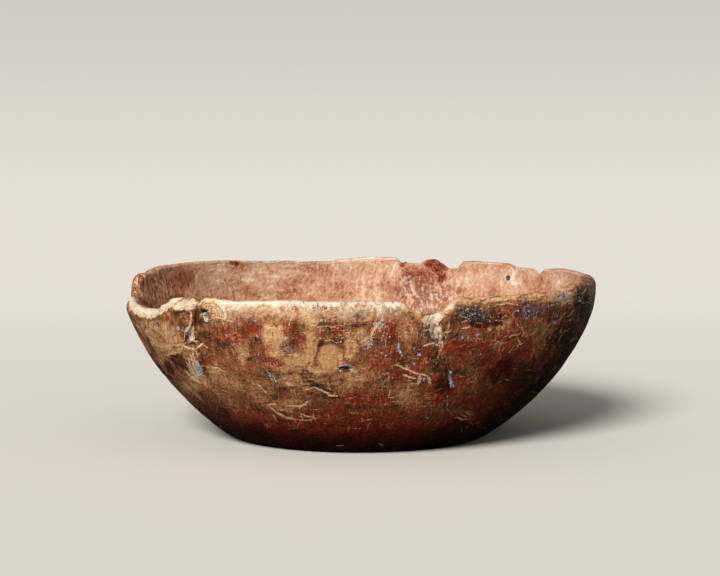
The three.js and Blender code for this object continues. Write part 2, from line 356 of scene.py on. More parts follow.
def grid_normals(points):
    """Outward normals of a closed ring of columns."""
    round_step = np.roll(points, -1, 1) - np.roll(points, 1, 1)
    row_step = np.gradient(points, axis=0)
    normal = np.cross(round_step, row_step)
    return normal / np.maximum(np.linalg.norm(normal, axis=-1, keepdims=True), SHORTEST_NORMAL)


# Size of the photograph in pixels, and its camera: place in millimetres, pitch, lens and sensor
PICTURE_WIDTH, PICTURE_HEIGHT = 720, 576
CAMERA_PLACE = np.array([-0.7, -1370.0, 226.0])
CAMERA_PITCH = 5.23
CAMERA_LENS, CAMERA_SENSOR = 100.0, 36.0


def seen_at(points):
    """Pixels across and down at which the photograph's camera sees points."""
    focal = PICTURE_WIDTH * CAMERA_LENS / CAMERA_SENSOR
    offset = points - CAMERA_PLACE
    c, s = math.cos(CAMERA_PITCH * RADIANS), math.sin(CAMERA_PITCH * RADIANS)
    depth = offset[..., 1] * c - offset[..., 2] * s
    up = offset[..., 1] * s + offset[..., 2] * c
    x = PICTURE_WIDTH / 2 + focal * offset[..., 0] / depth
    y = PICTURE_HEIGHT / 2 - focal * up / depth
    return np.stack([x, y], -1)


# Marks are placed in the photograph's pixels on what it shows: the front of the outer wall, the rim and
# the far side of the inner wall. The unseen halves get the same marks turned half round, so that the
# bowl is as worn from behind; the painted shade among them is turned round with them. The marks fade
# out at the seam between.

# Depth of the seam behind the middle, along the wall and at the top of the bevel, in millimetres
SEAM_WALL, SEAM_BEVEL = 35.0, 70.0
SEAM_FADE = 34.0
# How far the seam strays, the size and seed of its lumps, and the least value of their noise
SEAM_STRAY, SEAM_LUMP, SEAM_SEED, SEAM_LEAST = 40.0, 28, 61, -0.5
# Stands for a place far on the seen side, as all of the rim's top is taken to be
FAR_SEEN = -1000.0
# Where the edges of most ovals start and end, as shares of their half sizes
OVAL_CORE, OVAL_REST = 0.3, 1.35
# Softness of most lines' edges in pixels, and the share of their width that they lose to their ends
LINE_SOFT, LINE_TAPER = 0.5, 0.65
# Lines wider than this, in pixels, get softer edges
SOFT_WIDTH = 3
# Greater than any distance in the picture
FAR_OFF = 1e9
# How far the middle of a random line is bowed out, as a share of half its length
BOW = 0.25


def rows_in(zone, *names):
    """Which rows are in the named zones, as a column."""
    return np.isin(zone, names)[:, None]


def mark_places(points, zone):
    """Where each point stands in the picture, how far marks show there, and whether it was turned."""
    inside = rows_in(zone, "inner", "floor")
    bevel = rows_in(zone, "bevel")
    past = np.where(inside, -points[..., 1], points[..., 1]) - SEAM_WALL
    past = past + SEAM_STRAY * np.maximum(cloud(points, SEAM_LUMP, SEAM_SEED), SEAM_LEAST)
    rise = np.cumsum(bevel, axis=0) / BEVEL_ROWS
    past = np.where(bevel, lerp(past, points[..., 1] - SEAM_BEVEL, rise), past)
    past = np.where(rows_in(zone, "top"), FAR_SEEN, past)
    side = np.where(past > 0, -1.0, 1.0)
    seen = seen_at(np.stack([side * points[..., 0], side * points[..., 1], points[..., 2]], -1))
    return seen, smoothstep(np.abs(past), 0, SEAM_FADE), past > 0


def patch_mask(place, patches, core=OVAL_CORE, rest=OVAL_REST):
    """Union of soft ovals: x, y, half width, half height, tilt, strength."""
    mask = np.zeros(place.shape[:-1])
    for x, y, half_x, half_y, tilt, strength in patches:
        c, s = math.cos(tilt * RADIANS), math.sin(tilt * RADIANS)
        dx, dy = place[..., 0] - x, place[..., 1] - y
        far = np.hypot((dx * c + dy * s) / half_x, (dy * c - dx * s) / half_y)
        mask = np.maximum(mask, strength * (1 - smoothstep(far, core, rest)))
    return mask


def stroke_mask(place, strokes, soften=LINE_SOFT, taper=LINE_TAPER):
    """Union of lines that thin out to their ends: width, strength, and the points of each route."""
    flat = place.reshape(-1, 2)
    order = np.argsort(flat[:, 0])
    across = flat[order, 0]
    mask = np.zeros(len(flat))
    for width, strength, route in strokes:
        route = np.array(route, float)
        edge = soften * max(1.0, width / SOFT_WIDTH)
        reach = width / 2 + edge
        low, high = route.min(0) - reach, route.max(0) + reach
        near = order[slice(*np.searchsorted(across, (low[0], high[0])))]
        near = near[(flat[near, 1] > low[1]) & (flat[near, 1] < high[1])]
        here = flat[near]
        lengths = np.linalg.norm(np.diff(route, axis=0), axis=1)
        done = np.cumsum(lengths) - lengths
        over = np.full(len(here), FAR_OFF)
        for start, step, length, before in zip(route, np.diff(route, axis=0), lengths, done):
            along = step / length
            run = np.clip((here - start) @ along, 0, length)
            aside = np.linalg.norm(here - start - run[:, None] * along, axis=1)
            end = np.abs(2 * (before + run) / lengths.sum() - 1)
            over = np.minimum(over, aside - width / 2 * (1 - taper * end**3))
        mask[near] = np.maximum(mask[near], strength * (1 - smoothstep(over, -edge, edge)))
    return mask.reshape(place.shape[:-1])


def scattered(count, box, lengths, widths, tilts, strengths, seed):
    """Random short lines within a box of pixels, each value drawn between two."""
    draw = np.random.default_rng(seed)
    strokes = []
    for _ in range(count):
        middle = np.array([draw.uniform(box[0], box[2]), draw.uniform(box[1], box[3])])
        turn = draw.uniform(*tilts) * RADIANS
        half = draw.uniform(*lengths) / 2 * np.array([math.cos(turn), math.sin(turn)])
        bow = np.array([-half[1], half[0]]) * draw.uniform(-BOW, BOW)
        route = [middle - half, middle + bow, middle + half]
        strokes.append((draw.uniform(*widths), draw.uniform(*strengths), route))
    return strokes


def strewn(rows):
    return [stroke for row in rows for stroke in scattered(*row)]


def mark_masks(place, warp, wobble, ovals, lines):
    """A mask for each kind of mark: the union of its ovals and lines, pulled about by warp and wobble."""
    masks = {}
    for make, kinds in ((patch_mask, ovals), (stroke_mask, lines)):
        for name, (marks, warp_share, wobble_share, *edge) in kinds.items():
            mask = make(place + warp_share * warp + wobble_share * wobble, marks, *edge)
            masks[name] = np.maximum(masks.get(name, 0), mask)
    return masks


# Paint and wear on the outer wall, as ovals in pixels: x, y, half width, half height, tilt, strength
RED_PATCHES = [
    (300, 345, 130, 40, 0, 0.3), (405, 350, 60, 50, 0, 0.56), (500, 350, 80, 60, 0, 0.62),
    (350, 432, 230, 36, 0, 0.95), (165, 340, 45, 34, 0, 0.22), (240, 390, 70, 24, 15, 0.4),
    (246, 330, 14, 5, 4, 0.75), (222, 327, 18, 4, 8, 0.65), (250, 334, 8, 4, 10, 0.95),
    (279, 324, 12, 5, 0, 0.8), (297, 334, 9, 10, 0, 0.95), (334, 330, 17, 8, 0, 0.9),
    (362, 319, 14, 7, 0, 0.9), (391, 338, 14, 18, 8, 1.0), (398, 354, 14, 14, 0, 0.9),
    (420, 355, 16, 16, 0, 0.6), (350, 352, 4, 6, 0, 0.85), (458, 350, 14, 18, 0, 1.0),
    (474, 344, 24, 12, 10, 1.0), (497, 364, 34, 22, 0, 0.95), (543, 313, 10, 9, 0, 0.9),
    (440, 388, 45, 28, 0, 0.85), (400, 374, 34, 12, 0, 0.72), (365, 404, 40, 22, 0, 0.75),
    (360, 434, 160, 24, 0, 1.1), (268, 362, 15, 6, 12, 0.95), (238, 358, 10, 9, 30, 0.45),
    (209, 356, 10, 6, 20, 0.7), (224, 342, 26, 13, 8, 0.6), (520, 345, 26, 20, 0, 0.9),
    (480, 410, 70, 30, -15, 0.95), (262, 428, 60, 20, 12, 0.85), (160, 320, 7, 5, 0, 0.6),
    (196, 328, 4, 14, 4, 0.55), (330, 418, 60, 14, 0, 0.9), (246, 317, 12, 6, 10, 0.6),
    (372, 375, 12, 10, 0, 0.6), (400, 410, 50, 14, 0, 0.8), (174, 359, 8, 4, 20, 0.6),
    (184, 367, 7, 5, 40, 0.6), (322, 352, 4, 20, 5, 0.8), (352, 366, 12, 6, 0, 0.7),
    (288, 342, 6, 12, 0, 0.6),
]
OCHRE_PATCHES = [
    (299, 360, 20, 8, 0, 0.7), (310, 342, 9, 15, 0, 0.8), (273, 332, 15, 20, 6, 0.85),
    (276, 352, 9, 11, -30, 0.7), (350, 352, 10, 16, 0, 0.75), (330, 358, 14, 15, 5, 0.8),
    (243, 354, 7, 13, 8, 0.7), (362, 376, 24, 12, 0, 0.6), (308, 371, 36, 5, 4, 0.75),
    (300, 382, 34, 5, 8, 0.65), (342, 385, 26, 6, 10, 0.6), (208, 376, 16, 18, 20, 0.6),
    (160, 340, 28, 22, 30, 0.7), (411, 331, 10, 14, 0, 0.7), (410, 394, 20, 12, 0, 0.7),
    (503, 326, 12, 4, -50, 0.85), (534, 336, 16, 20, 0, 0.2), (552, 330, 14, 20, 20, 0.35),
    (464, 415, 14, 6, 10, 0.6), (190, 390, 14, 18, 40, 0.55), (474, 372, 12, 8, 0, 0.35),
    (284, 404, 24, 8, 6, 0.6), (220, 400, 22, 10, 30, 0.4), (232, 383, 22, 12, 20, 0.55),
    (362, 337, 10, 10, 0, 0.6), (410, 311, 12, 7, 20, 0.7), (309, 319, 11, 10, 0, 0.85),
    (506, 343, 16, 5, 8, 0.55), (258, 392, 20, 12, 30, 0.5), (556, 292, 16, 7, -22, 0.6),
    (571, 298, 10, 8, 0, 0.7), (579, 322, 6, 14, 15, 0.5), (272, 316, 18, 5, 0, 0.6),
    (150, 325, 14, 10, 30, 0.5), (345, 314, 20, 4, 0, 0.6),
]
# Smooth knife facets
FACET_PATCHES = [
    (329.5, 358, 13.5, 14.5, 5, 1.0), (275.5, 337, 8.5, 9, 0, 0.8), (311.5, 348, 6, 14, 6, 0.95),
    (304, 359.5, 10.5, 5.5, -30, 1.0), (290, 361.5, 9.5, 4.5, 18, 1.0),
]
# Dark smudges, and painted shade on the lower wall and the right side, which face away from the light
SOOT_AND_SHADE_PATCHES = [
    (472, 312, 24, 10, -6, 0.8), (492, 320, 10, 9, 0, 0.45), (527, 314, 16, 10, 0, 0.3),
    (584, 308, 12, 24, 15, 0.85), (568, 345, 20, 36, 25, 0.9), (545, 395, 58, 28, -35, 1.0),
    (476, 438, 80, 20, -14, 1.0), (361, 317, 10, 4, 0, 0.8), (316, 386, 18, 4, 14, 0.75),
    (300, 375, 24, 3, 8, 0.35), (326, 396, 16, 4, 10, 0.6), (179, 361, 10, 7, 35, 0.55),
    (207, 368, 4, 14, -10, 0.6), (150, 342, 7, 5, 40, 0.5), (166, 372, 10, 8, 50, 0.6),
    (172, 322, 8, 4, 30, 0.5), (225, 348, 12, 4, 10, 0.2), (240, 329, 24, 5, 5, 0.15),
    (556, 312, 10, 10, 0, 0.6), (206, 416, 60, 14, 40, 0.4), (360, 453, 190, 10, 0, 0.6),
    (184, 315, 9, 4, 25, 0.5), (150, 356, 5, 30, -28, 0.5), (250, 438, 60, 12, 18, 0.4),
    (392, 315, 10, 5, 0, 0.5), (196, 318, 4, 12, 4, 0.5), (322, 352, 3, 18, 5, 0.45),
    (434, 362, 8, 12, 0, 0.5), (444, 384, 8, 16, 0, 0.6), (255, 348, 7, 4, 0, 0.45),
    (216, 404, 16, 8, 30, 0.4), (522, 375, 40, 20, -10, 0.5),
]
LILAC_PATCHES = [
    (291, 351, 10, 7, 0, 0.9), (285, 345, 5, 6, 0, 0.7), (222, 311, 12, 8, 0, 0.5),
    (247, 315, 14, 6, 10, 0.5), (256, 347, 9, 4, 0, 0.6), (366, 348, 6, 12, 15, 0.6),
    (470, 336, 14, 5, 0, 0.5), (280, 313, 14, 4, 0, 0.6), (474, 311, 20, 9, 0, 0.8),
    (527, 314, 13, 10, 0, 0.6), (345, 314, 18, 4, 0, 0.5), (540, 308, 14, 9, 0, 0.6),
    (190, 334, 4, 12, 0, 0.3), (564, 299, 10, 9, 0, 0.7), (138, 282, 4, 8, 0, 0.8),
    (266, 362, 12, 5, 8, 0.5), (205, 317, 5, 6, 0, 0.8),
]
# Where specks of blue and white paint are left
CHALK_PATCHES = [
    (472, 312, 26, 11, -8, 0.85), (530, 314, 18, 13, 0, 0.8), (369, 347, 6, 14, 15, 0.95),
    (379, 326, 4, 14, 15, 0.85), (399, 351, 4, 12, -8, 0.75), (562, 299, 10, 9, 0, 0.75),
    (290, 350, 9, 7, 0, 0.75), (197, 344, 7, 6, 0, 0.85), (434, 328, 12, 15, 0, 0.3),
    (346, 369, 7, 3, 0, 0.75), (434, 352, 9, 8, 0, 0.55), (586, 285, 6, 6, 0, 0.6),
    (225, 306, 14, 7, 0, 0.5), (148, 311, 18, 6, 0, 0.45), (134, 300, 7, 10, 0, 0.5),
    (240, 304, 10, 5, 0, 0.6), (316, 310, 6, 12, 0, 0.55), (450.5, 378, 3, 10, -4, 0.95),
    (414, 356, 8, 14, 0, 0.55), (190, 331, 4, 10, 0, 0.6), (197, 366, 4, 14, -19, 0.5),
    (437, 384, 6, 5, 0, 0.6), (205, 318, 4, 5, 0, 0.9), (470, 336, 14, 4, 0, 0.55),
    (280, 313, 12, 5, 0, 0.5), (556, 296, 14, 8, -20, 0.9), (545, 306, 12, 8, 0, 0.65),
]
# The lobe, the trough below the notch and the paler wood of the cleft
CREAM_PATCHES = [
    (186, 304.8, 13.5, 6.8, -6, 0.85), (433, 319, 12, 6, -10, 0.65), (436, 330, 7, 10, -10, 0.6),
    (441, 342, 3.5, 8, -10, 0.4), (205.5, 319, 3.4, 4, 15, 0.4), (195, 364, 3, 15, -19, 0.3),
    (191.5, 334, 3, 9, -8, 0.45),
]
# Single flecks of blue paint
BLUE_FLECKS = [
    (380, 314, 2.2, 1.4, 0, 1), (374.6, 324, 1, 2, 20, 0.9), (382, 325.7, 1.2, 2.2, 30, 0.9),
    (414.2, 347.4, 1, 1.3, 0, 0.9), (320.3, 320.7, 1.5, 1.2, 0, 1), (235.5, 310, 1.1, 2.2, -15, 1),
    (254.2, 321, 2, 1.1, 25, 1), (225.6, 335.2, 1.2, 1, 0, 0.7), (203, 313.8, 2, 1.2, 0, 1),
    (178.5, 328, 2.1, 1.4, 30, 1), (169.5, 332.4, 1.7, 1.1, 0, 1), (285.3, 339, 1, 2.6, 0, 0.9),
    (340.9, 370.6, 2, 1.1, -10, 0.6), (345.4, 368, 2, 1.2, 0, 1), (350.7, 369.5, 2, 1.1, 20, 1),
    (356.5, 376.2, 2.2, 0.9, -15, 0.9), (414.2, 364, 1.1, 2.6, -5, 1), (419.4, 354, 1.4, 1.9, 0, 1),
    (423.8, 378.4, 1.2, 2.6, 0, 1), (426.2, 417.7, 1.7, 1.4, 0, 0.6), (480.3, 354.4, 1.5, 1, -20, 0.8),
    (436.4, 345, 1.8, 1.5, 0, 1), (426.4, 330.4, 1.3, 1.4, 0, 1), (432.6, 336.4, 1.3, 2, 20, 1),
    (437, 324.4, 1.4, 1.2, 0, 0.8), (477.9, 334.7, 2, 1.1, 0, 0.8), (462.1, 337, 2, 1.3, 0, 0.7),
    (498.5, 316.5, 1, 1.1, 0, 0.9), (554.8, 322, 1.8, 1.5, 0, 1.1), (557.4, 317, 1.3, 1.2, 0, 1),
    (560.3, 296.5, 1.2, 2.6, 10, 0.9), (588, 283.6, 1.6, 1.4, 0, 0.9), (146.5, 331, 1.2, 1.1, 0, 0.9),
    (157.3, 327.4, 2, 1.1, 20, 1), (163, 345.6, 1.7, 1.4, 0, 1), (308, 401.2, 1.2, 1.1, 0, 0.7),
    (233, 303.4, 1.4, 1, -40, 0.8), (238, 300.8, 1.5, 1.1, 0, 0.8), (317.4, 309, 1.1, 1.8, 0, 0.8),
    (138, 300.5, 1.6, 1.2, 0, 0.8), (428, 312, 1.6, 1, 0, 0.7), (448.6, 367, 1.2, 1.8, 0, 1),
    (450.6, 373, 1.6, 1.8, 0, 1), (449.8, 379, 1.8, 1.6, 0, 1), (452, 386, 2.6, 1.4, 10, 1),
]
# Lines on the outer wall, in pixels: width, strength, route
OCHRE_STROKES = [
    (9, 0.8, [(452, 301), (480, 299), (505, 298), (530, 296), (550, 292), (564, 288), (578, 282)]),
    (14, 0.6, [(212, 311), (270, 312), (340, 313), (395, 314)]),
    (8, 0.9, [(400, 306), (411, 311), (420, 316)]),
    (7, 0.9, [(424, 320), (436, 317), (446, 310.5), (455, 302)]),
]
# Cut faces of the dip and the lobe, and the lips of the fold and the notch
CREAM_STROKES = [
    (5, 0.25, [(137.5, 278), (134, 289), (131.5, 298)]),
    (3.4, 0.7, [(200.5, 304), (206, 299.8), (215, 300.5), (223, 306), (226, 313), (225, 320)]),
    (10, 0.95, [(131, 298), (134, 307), (141, 312), (148, 314), (157, 311.5), (164, 308), (170, 304.5)]),
    (6, 0.38, [(424, 320), (436, 317), (446, 310.5), (455, 302)]), (4, 0.5, [(187, 347), (197, 349.5)]),
    (5, 0.9, [(168, 305.5), (174, 300.5), (181, 298)]),
]
# The rim's run of bare wood, which fades down the wall
RIM_STROKES = [
    (12, 1.1, [(222, 301.5), (240, 301), (275, 301.5), (300, 302), (330, 302.5)]),
    (9, 1.05, [(322, 302), (365, 302.5), (404, 306)]),
    (22, 0.62, [(212, 306), (270, 307), (340, 308), (395, 310)]),
    (9, 0.45, [(446, 310.5), (455, 302), (475, 299), (500, 298)]),
]
# Scratches through to pale wood, and pale streaks of the cleft and its foot
PALE_STROKES = [
    (1.7, 1, [(395, 364), (406, 369.5), (417, 373.5), (428, 375)]),
    (1.5, 0.8, [(402, 375), (409, 377), (416.5, 378.4)]), (3.2, 0.7, [(419.8, 375), (418.2, 385)]),
    (1.3, 0.8, [(405.6, 364), (409, 369.5)]), (3.4, 0.6, [(428, 375.5), (431, 384)]),
    (1.2, 0.6, [(402, 373.5), (405, 377.5)]), (1.2, 0.9, [(304.3, 389.5), (314, 387), (322, 389.5)]),
    (1.7, 1, [(314, 387), (324, 391), (331, 395.4), (337.5, 396)]),
    (1.1, 0.6, [(326, 388), (334, 391.5)]),
    (1.5, 1, [(286, 405.4), (299, 405.6), (305.2, 404.3), (308.5, 401)]),
    (1.2, 0.8, [(268, 405), (276, 404.6)]), (1.2, 0.9, [(268.1, 406), (278.4, 413.5), (292, 418)]),
    (1.1, 0.8, [(270, 408), (280.7, 416), (298, 419.6)]),
    (1, 0.7, [(278, 409), (288, 412.5), (294, 411)]), (1, 0.7, [(283, 407.5), (294, 412.5)]),
    (1, 0.7, [(274, 414), (277.3, 422)]), (1, 0.6, [(292, 416), (295.5, 422.5)]),
    (1, 0.7, [(300, 412), (304, 421)]), (1.2, 0.8, [(299.8, 412.4), (306, 416), (316, 418)]),
    (1, 0.7, [(313, 413.5), (314.6, 419.5)]), (1, 0.6, [(296, 419.5), (308, 420), (319, 418)]),
    (1, 0.6, [(328, 413), (329.5, 419)]), (1.1, 0.6, [(388.7, 372), (388.7, 386)]),
    (1.4, 0.8, [(388.9, 387), (389.4, 397)]), (1.3, 0.7, [(389, 397.4), (394, 396.6)]),
    (1, 0.6, [(336, 445.4), (344, 446.3)]), (1.1, 0.6, [(378.4, 442.7), (384.6, 446.3)]),
    (1.5, 1, [(167, 355), (175, 353), (182, 351)]),
    (1.2, 0.8, [(158, 347.5), (170.5, 345.2), (186, 344)]),
    (1.2, 0.8, [(208.4, 365.8), (217.6, 368.7), (225.5, 372.7)]),
    (1.1, 0.6, [(221, 389.4), (230.2, 393.4)]), (1.6, 0.9, [(188, 375), (194, 379), (200.6, 383.6)]),
    (1.1, 0.6, [(254.3, 379), (263.5, 390.5), (270.4, 398.6)]), (1.2, 0.6, [(257, 384), (262, 389)]),
    (1.2, 0.6, [(186, 366), (190, 372), (196, 378)]),
    (1.8, 0.7, [(454.4, 416.9), (462.5, 418.6), (470, 419.2)]), (1.6, 0.7, [(460, 413.6), (467, 417)]),
    (1.3, 0.6, [(464, 411), (475, 414.6)]), (1, 0.7, [(513, 316), (520.3, 328.6)]),
    (1.7, 0.9, [(508, 336.6), (521, 333.8)]), (1, 0.6, [(521, 326), (526.5, 336)]),
    (1.2, 0.8, [(518.5, 337.1), (520.3, 342), (517.3, 348.5)]), (1.1, 0.6, [(523, 336), (527.5, 332)]),
    (1.3, 0.6, [(493, 340), (500.9, 343.2), (510, 341.6)]),
    (1.2, 0.6, [(493.6, 306.8), (507, 303.2), (526.4, 306.8)]), (1.6, 0.7, [(461, 327.6), (470, 326.6)]),
    (1.3, 0.6, [(462, 322.8), (468, 320.4)]), (1.6, 0.8, [(443, 333.8), (451.6, 330.6)]),
    (2, 1, [(423, 345.4), (434.4, 342.8)]), (1.2, 0.6, [(493.6, 320.8), (507, 321.4)]),
    (1.1, 0.7, [(348, 333), (351.6, 339.6)]), (1.1, 0.7, [(347, 341.4), (357, 342.4)]),
    (1.1, 0.7, [(370, 336), (358.8, 343.4)]), (1.1, 0.6, [(373.4, 335), (362, 347)]),
    (2.6, 0.9, [(379, 321), (374, 331), (370, 340)]), (1.1, 0.6, [(374.6, 337), (367, 346.6)]),
    (1.5, 0.6, [(295, 304), (291.6, 316), (287, 331)]),
    (1.5, 0.9, [(190.4, 310), (190.7, 317.4), (190, 323), (188.6, 330)]),
    (1.2, 0.7, [(193.5, 318), (187, 330), (184, 342)]),
    (1.3, 0.8, [(209.8, 319), (219.8, 317.4), (226.4, 320.7), (234, 321)]),
    (1.3, 0.9, [(189, 342), (193, 340), (199, 341.6), (201, 346), (196, 348.6), (190, 346.4)]),
    (1.2, 0.9, [(182, 346), (190, 348.6), (197, 350.4)]),
    (1.2, 0.8, [(200, 340), (203, 345), (209, 348.6)]),
    (1.3, 0.9, [(187, 362), (193.5, 372), (200.4, 383)]),
    (1.2, 0.8, [(196, 350), (197.6, 360), (201, 376)]), (1.1, 0.7, [(186, 341), (183, 347), (180, 353)]),
    (1.1, 0.6, [(172, 352.6), (178, 354)]), (1, 0.6, [(286, 356), (297, 353.4)]),
    (1.4, 1, [(189, 351), (193, 362), (198.6, 378)]), (1.2, 1, [(192, 350), (196, 362), (199.6, 376)]),
    (1.6, 1.1, [(184.6, 371), (193, 377.4), (200.6, 383)]),
    (1.2, 1, [(188, 357), (192, 367), (196, 376)]),
    (1.2, 0.9, [(186.4, 362), (189.4, 368), (193.6, 374.6)]),
    (1.2, 0.9, [(193, 326), (194, 333), (195.4, 340)]), (1.2, 0.8, [(190.4, 330), (189.4, 340)]),
    (1, 0.8, [(192, 331), (194.4, 341)]),
]
BLUE_STROKES = [
    (1.6, 1.1, [(197, 366), (198.6, 371), (200, 377)]),
    (0.9, 0.8, [(197.5, 353), (199.6, 366), (200.6, 379)]), (1, 0.8, [(189.6, 325), (187.6, 334)]),
    (2, 1.1, [(338.6, 369), (341.6, 366), (346, 365), (351, 366.4), (353, 369)]),
    (1.1, 0.8, [(194, 356), (197, 368), (199.5, 380)]), (1, 0.7, [(190.5, 371.5), (196, 377.5)]),
    (1.3, 0.7, [(191.6, 326), (191.4, 332), (192.4, 340)]),
    (1.1, 0.9, [(266, 369), (272, 376), (278.6, 385)]), (0.9, 0.6, [(267.4, 373.5), (274, 381.5)]),
    (1, 0.7, [(280.7, 373.3), (285.5, 380), (290, 387)]), (1.3, 0.9, [(372, 343), (367.6, 349.4)]),
    (1.6, 0.9, [(397.6, 343), (400, 349), (401.6, 355)]), (1.4, 0.9, [(448, 363), (449.2, 372)]),
    (2.2, 1, [(449, 371), (450.2, 379)]), (3.2, 1, [(450.2, 378), (451.4, 387)]),
    (1, 0.6, [(446.6, 391), (446.5, 408), (452, 415.8)]), (1.2, 0.7, [(382.6, 318), (378.6, 325)]),
    (1, 0.7, [(408.8, 353), (408.8, 361)]), (1.2, 0.8, [(136.4, 325), (141, 333)]),
    (1, 0.5, [(388.9, 384), (389.2, 394)]), (1.7, 0.7, [(243, 261.4), (262, 260.8), (280, 261.6)]),
]
# Cracks and seams, dark lines in the cleft and the fold and along the cut face of the dip, and painted shade
# between the knife facets and beside the horn
DARK_STROKES = [
    (2, 0.8, [(184, 331.5), (186.6, 339.8)]),
    (2.2, 0.9, [(197.4, 303), (196, 313), (194.4, 324), (193, 336)]),
    (3.4, 1.1, [(199.5, 312), (204, 310.6), (208, 311)]),
    (1.4, 0.6, [(176, 309), (181, 312.4), (188, 313.4), (195, 310)]),
    (2.2, 0.8, [(191, 343.5), (195, 342.8), (198, 345)]),
    (3, 1.1, [(343, 371.8), (346.5, 371.4), (350.5, 371.8)]), (2.2, 0.8, [(447.2, 362), (446.8, 377)]),
    # The next two lines are painted shade between the knife facets
    (1.8, 0.4, [(316, 336), (317.4, 347), (316.6, 356), (321, 368), (329, 373.4)]),
    (1.8, 0.35, [(279, 359), (288, 366), (302, 367.4), (313, 361.6)]),
    # The first line below is painted shade beside the horn
    (4.5, 0.7, [(142.5, 277), (141.5, 287), (144, 297)]), (2, 0.6, [(170, 358), (180, 366), (188, 371)]),
    (1.4, 0.6, [(425, 318), (427, 332), (434, 344)]), (1.4, 0.6, [(446, 318), (444, 334), (443.6, 350)]),
    (3, 0.4, [(303, 381), (316, 383), (330, 389)]), (2.4, 0.4, [(308, 393), (320, 396.6), (333, 400)]),
    (1.3, 0.5, [(296, 374), (312, 375), (328, 379)]), (1.4, 0.6, [(262, 392), (270, 398), (272, 404)]),
    (1.4, 0.5, [(344, 346), (344.6, 356), (341, 366)]),
    (1.6, 0.6, [(201, 351), (203, 364), (203.6, 380)]), (1.2, 0.5, [(226.6, 306), (228.6, 316)]),
    (1.8, 0.6, [(300, 387), (310, 385), (322, 387)]), (1.2, 0.8, [(190, 352), (194.5, 365), (198, 377)]),
    (1.2, 0.8, [(187, 361), (191, 370), (195, 376)]),
    (1.1, 0.9, [(188.4, 326), (187.4, 333), (186.4, 340)]),
    (1.1, 0.7, [(186, 327), (184.6, 334), (183.4, 341)]),
    (1.2, 0.35, [(128, 307), (138, 318), (148, 321.4), (160, 317), (172, 308.6)]),
    (1, 0.4, [(131, 303), (138, 311), (148, 315.5), (158, 313), (168, 307)]),
    (1, 0.35, [(134, 300), (140, 308), (149, 311.5), (158, 309), (166, 305)]),
    (1.3, 0.7, [(216, 305), (223, 310), (224, 318)]), (1.3, 0.6, [(212, 306), (218, 311), (219, 317)]),
    (1.6, 0.7, [(202, 322), (206, 324), (211, 321)]), (1.4, 0.6, [(208, 302), (212, 308), (211, 316)]),
    (2, 0.8, [(187, 336), (185, 345), (181, 352)]),
]
# The curl of the fold, drawn again and again towards its middle, each time weaker
FOLD_CURL = np.array(
    [(200.5, 305), (205, 299.6), (215, 300.2), (222.5, 305.5), (225.5, 312.5), (225, 320)]
)
FOLD_MIDDLE = np.array([211, 317])
FOLD_LINES, FOLD_SHRINK, FOLD_FADE = 5, 0.14, 0.1
FOLD_WIDTH, FOLD_STRENGTH = 1.2, 0.85
# Fine lines of the lobe, one below the other
LOBE_LINE = np.array([(175, 302), (181, 299.4), (188, 299), (196, 302)])
LOBE_LINES, LOBE_STEP = 7, np.array([0.85, 1.7])
LOBE_WIDTH, LOBE_STRENGTH = 0.8, 0.5
# Fine wear strewn at random: count, box of pixels, then lengths, widths, tilts, strengths, and the seed
OUTER_BOX = (125, 312, 595, 430)
STREWN_PALE = [
    (300, OUTER_BOX, (3, 12), (0.7, 1.0), (-25, 25), (0.2, 0.5), 71),
    (260, OUTER_BOX, (3, 12), (0.7, 1.0), (65, 115), (0.2, 0.5), 73),
    (26, (560, 284, 594, 345), (4, 13), (0.8, 1.3), (-65, -15), (0.3, 0.6), 78),
    (60, (460, 304, 560, 350), (3, 10), (0.7, 1.1), (-70, 30), (0.3, 0.7), 72),
    (40, (300, 318, 350, 342), (4, 14), (0.7, 1.0), (-6, 8), (0.3, 0.6), 74),
    (40, (360, 318, 450, 362), (4, 14), (0.7, 1.0), (75, 105), (0.3, 0.6), 75),
    (24, (338, 318, 385, 350), (5, 13), (0.7, 1.1), (105, 140), (0.3, 0.7), 76),
    (30, (380, 372, 440, 410), (4, 12), (0.7, 1.1), (-15, 15), (0.2, 0.6), 77),
]
STREWN_DARK = [
    (330, OUTER_BOX, (3, 12), (0.8, 1.4), (-25, 25), (0.25, 0.6), 79),
    (260, OUTER_BOX, (3, 12), (0.8, 1.4), (65, 115), (0.25, 0.6), 83),
    (90, (290, 299, 402, 311), (3, 8), (0.7, 1.1), (50, 80), (0.35, 0.75), 85),
    (60, (420, 306, 452, 345), (4, 12), (0.8, 1.2), (80, 125), (0.3, 0.7), 87),
    (110, (455, 286, 590, 306), (3, 14), (0.8, 1.3), (-25, 5), (0.4, 0.9), 89),
    (90, (440, 325, 585, 420), (2, 8), (1.0, 2.2), (0, 180), (0.25, 0.6), 91),
    (16, (130, 302, 172, 320), (4, 9), (0.7, 1.0), (-25, 25), (0.15, 0.3), 88),
]
STREWN_BLUE = [
    (26, (548, 286, 592, 306), (0.5, 2.5), (0.9, 1.7), (0, 180), (0.7, 1.0), 95),
    (30, (455, 300, 548, 324), (0.5, 2), (0.8, 1.5), (0, 180), (0.6, 1.0), 97),
    (24, (360, 308, 455, 360), (0.5, 2.5), (0.8, 1.5), (60, 120), (0.6, 1.0), 99),
    (24, (215, 299, 400, 314), (0.5, 2), (0.8, 1.4), (0, 180), (0.5, 0.9), 101),
]


def fold_strokes():
    strokes = []
    for k in range(FOLD_LINES):
        route = FOLD_MIDDLE + (1 - FOLD_SHRINK * k) * (FOLD_CURL - FOLD_MIDDLE)
        strokes.append((FOLD_WIDTH, FOLD_STRENGTH - FOLD_FADE * k, route))
    return strokes


def lobe_strokes():
    return [(LOBE_WIDTH, LOBE_STRENGTH, LOBE_LINE + k * LOBE_STEP) for k in range(LOBE_LINES)]


